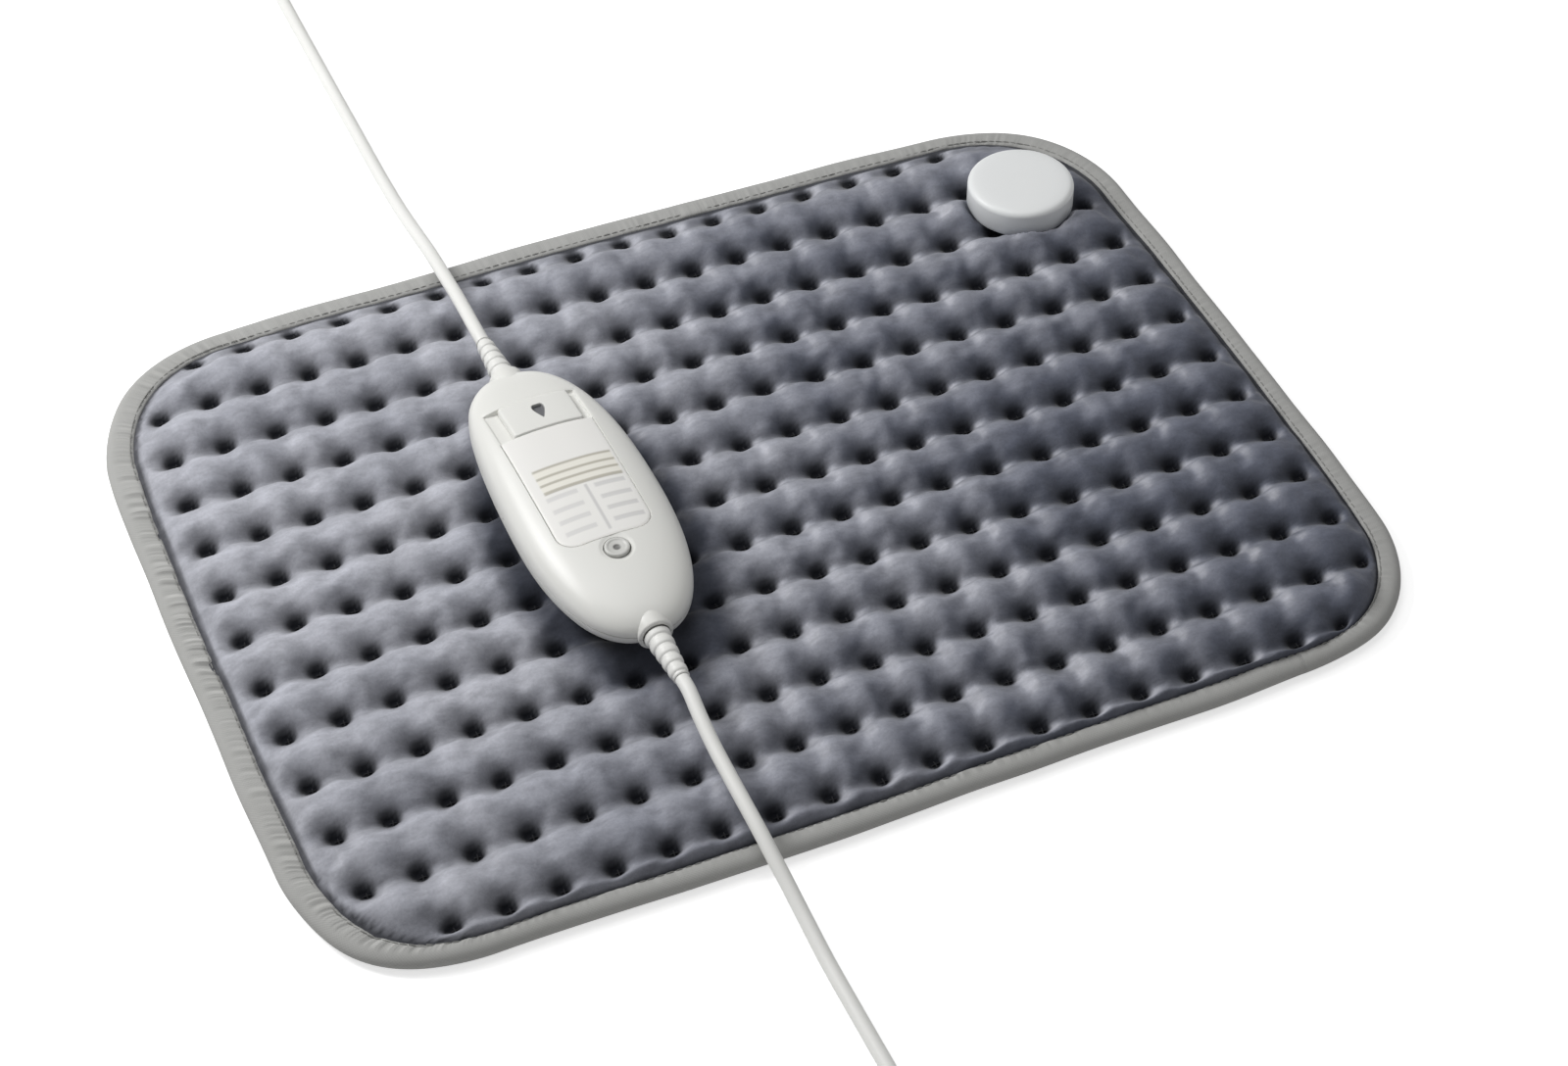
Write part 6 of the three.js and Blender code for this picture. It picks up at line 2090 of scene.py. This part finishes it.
def make_leads(switch: HandSwitch) -> None:
    """Make both leads with their plugs, straps and reliefs.

    Args:
        switch: The hand switch that they leave.
    """
    def off(y: float) -> Triple:
        """Give a place in line with the switch."""
        return tuple(switch.frame @ Vector((0, y, 0)))

    mains = Lead(
        "mains",
        [
            off(-88.9), off(-93.9), (-56.3, -104, 22.8), (-56.2, -115, 20.4), (-55.8, -126, 18.6), (-55.2, -138, 16.7),
            (-54.5, -148, 14.5), (-53.7, -158, 11.4), (-52.9, -168, 8.3), (-52.3, -180, 5.3), (-51.9, -195, 3.1),
            (-51.5, -215, 2.6), (-50.9, -245, 2.6), (-50.45, -270, 2.9),
        ],
        centre=(-83.5, -293.0), loops=9.25, layers=4, middle_radius=26.6, start_turn=0.0, tail_run=48.0,
        plug_middle=6.95, relief_length=24.0, real_length=1820.0,
    )
    pad = Lead(
        "pad",
        [
            off(88.9), off(93.9), (-60.3, 105, 22.9), (-59.7, 115, 20.8), (-59.3, 126, 18.9), (-59.1, 138, 16.9),
            (-58.8, 148, 15.0), (-58.4, 158, 12.6), (-58.1, 168, 9.9), (-57.9, 180, 6.9), (-57.9, 195, 4.2),
            (-58.1, 215, 2.8), (-58.4, 250, 2.6), (-58.8, 300, 2.6), (-59.05, 345, 2.8),
        ],
        centre=(-28.3, 374.0), loops=2.25, layers=2, middle_radius=27.5, start_turn=math.pi, tail_run=38.0,
        plug_middle=5.1, relief_length=20.0, real_length=730.0,
    )
    plugs = Plugs()
    mains.build(-88.9, plugs.mains(mains), ("mains_plug_pin_1", "mains_plug_pin_2"))
    pad.build(88.9, plugs.pad(pad), ())


# ---- The solids that stay, dressed


def dress_solids() -> None:
    """Give each solid that stays its finish."""
    kept = {
        INSULATION: [
            "heating_wire", "socket_lead_1", "socket_lead_2",
            *(f"{side}_core_{core}" for side in ("pad", "mains") for core in ("live", "neutral")),
        ],
        DARK_PART: [
            "thermal_fuse", "socket_contact_block", "slide_switch_body", "switch_slider", "key_switch_body",
            "key_switch_plunger", "thyristor", "capacitor", "control_chip",
        ],
        SOCKET: ["socket_base"],
        BOARD: ["circuit_board"],
        BRASS: [*(f"socket_pin_{n}" for n in (1, 2, 3)), "board_fuse", "mains_plug_pin_1", "mains_plug_pin_2"],
        STEEL: [
            "socket_backing_plate", *(f"{kind}_{n}" for kind in ("socket_rivet", "case_screw") for n in range(1, 5)),
        ],
    }
    for finish, names in kept.items():
        for name in names:
            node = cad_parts[name]
            if node.material_slots:
                node.material_slots[0].material = finish.material()
            else:
                node.data.materials.append(finish.material())
            log.info("%s stays, %s", name, finish.name)


# ---- Studio


@dataclass
class Studio:
    """Camera, lamps, floor and world. Lengths here are in millimetres too."""

    azimuth: float = -23.124
    elevation: float = 45.108
    target: Triple = (9.639, -17.504, 0.0)
    distance: float = 1167.455
    focal_px: float = 3450.0
    picture_px: float = 1600.0
    sensor: float = 36.0
    fill_light: float = 0.26
    floor_half: float = 4000.0
    floor_drop: float = 0.2

    def camera(self) -> None:
        """Set the camera at the picture's angle."""
        a, e = math.radians(self.azimuth), math.radians(self.elevation)
        back = Vector((math.sin(a) * math.cos(e), -math.cos(a) * math.cos(e), math.sin(e)))
        right = Vector((math.cos(a), math.sin(a), 0.0))
        up = back.cross(right)
        data = bpy.data.cameras.new("camera")
        data.sensor_width = self.sensor
        data.sensor_fit = "HORIZONTAL"
        data.lens = self.focal_px / self.picture_px * self.sensor
        data.clip_start, data.clip_end = 0.05, 20.0
        obj = add_object("camera", data)
        place = (Vector(self.target) + back * self.distance) * MM
        turn = Matrix((right, up, back)).transposed().to_4x4()
        obj.matrix_world = Matrix.Translation(place) @ turn
        bpy.context.scene.camera = obj

    def lamp(self, name: str, place: Triple, size: float, watts: float) -> None:
        """Add one soft box that points at the middle of the pad.

        Args:
            name: Its name.
            place: Where it stands.
            size: The length of its side.
            watts: Its power.
        """
        data = bpy.data.lights.new(name, "AREA")
        data.shape = "SQUARE"
        data.size = size * MM
        data.energy = watts
        obj = add_object(name, data)
        obj.location = Vector(place) * MM
        obj.rotation_euler = Vector(place).to_track_quat("Z", "Y").to_euler()

    def floor(self) -> None:
        """Lay the pale floor, which shows white to the camera but keeps its shadow."""
        corners = [(x * self.floor_half, y * self.floor_half, 0) for x, y in ((-1, -1), (1, -1), (1, 1), (-1, 1))]
        obj = add_object("floor", make_mesh("floor", (np.array(corners), [[0, 1, 2, 3]]), outward=False))
        obj.location.z = -self.floor_drop * MM
        material = bpy.data.materials.new("studio floor")
        material.use_nodes = True
        tree = material.node_tree
        tree.nodes.clear()
        ray = add(tree, "ShaderNodeLightPath").outputs
        seen = {0: ray["Is Camera Ray"], 1: ray["Is Glossy Ray"]}
        glow = {"Strength": add(tree, "ShaderNodeMath", seen, operation="MAXIMUM"), "Color": (0.62, 0.62, 0.62, 1.0)}
        matt = add(tree, "ShaderNodeBsdfDiffuse", {"Color": linear(0xE6E6E6)})
        both = add(tree, "ShaderNodeAddShader", {0: matt, 1: add(tree, "ShaderNodeEmission", glow)})
        add(tree, "ShaderNodeOutputMaterial", {"Surface": both})
        obj.data.materials.append(material)

    def world(self) -> None:
        """Fill the studio with an even light and a white surround."""
        world = bpy.data.worlds.new("studio")
        world.use_nodes = True
        tree = world.node_tree
        tree.nodes.clear()
        ray = add(tree, "ShaderNodeLightPath")
        strength = add(tree, "ShaderNodeMapRange", {"Value": ray.outputs["Is Camera Ray"], 3: self.fill_light, 4: 1.0})
        light = add(tree, "ShaderNodeBackground", {"Strength": strength, "Color": (1.0, 1.0, 1.0, 1.0)})
        add(tree, "ShaderNodeOutputWorld", {"Surface": light})
        bpy.context.scene.world = world

    def build(self) -> None:
        """Set up the whole studio."""
        self.camera()
        self.floor()
        self.world()
        self.lamp("key", (-640.0, 520.0, 760.0), 400.0, 7.1)
        self.lamp("top", (-60.0, 160.0, 1000.0), 600.0, 2.7)
        bpy.context.scene.view_settings.view_transform = "Standard"


def main() -> None:
    """Build the studio, the leads, the pad, the socket housing and the hand switch."""
    logging.basicConfig(level=logging.INFO, format="%(name)s: %(message)s")
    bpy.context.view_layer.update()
    Studio().build()
    switch = HandSwitch()
    make_leads(switch)
    QuiltedPad().build()
    SocketHousing().cap()
    switch.build()
    dress_solids()


if __name__ == "__main__":
    main()
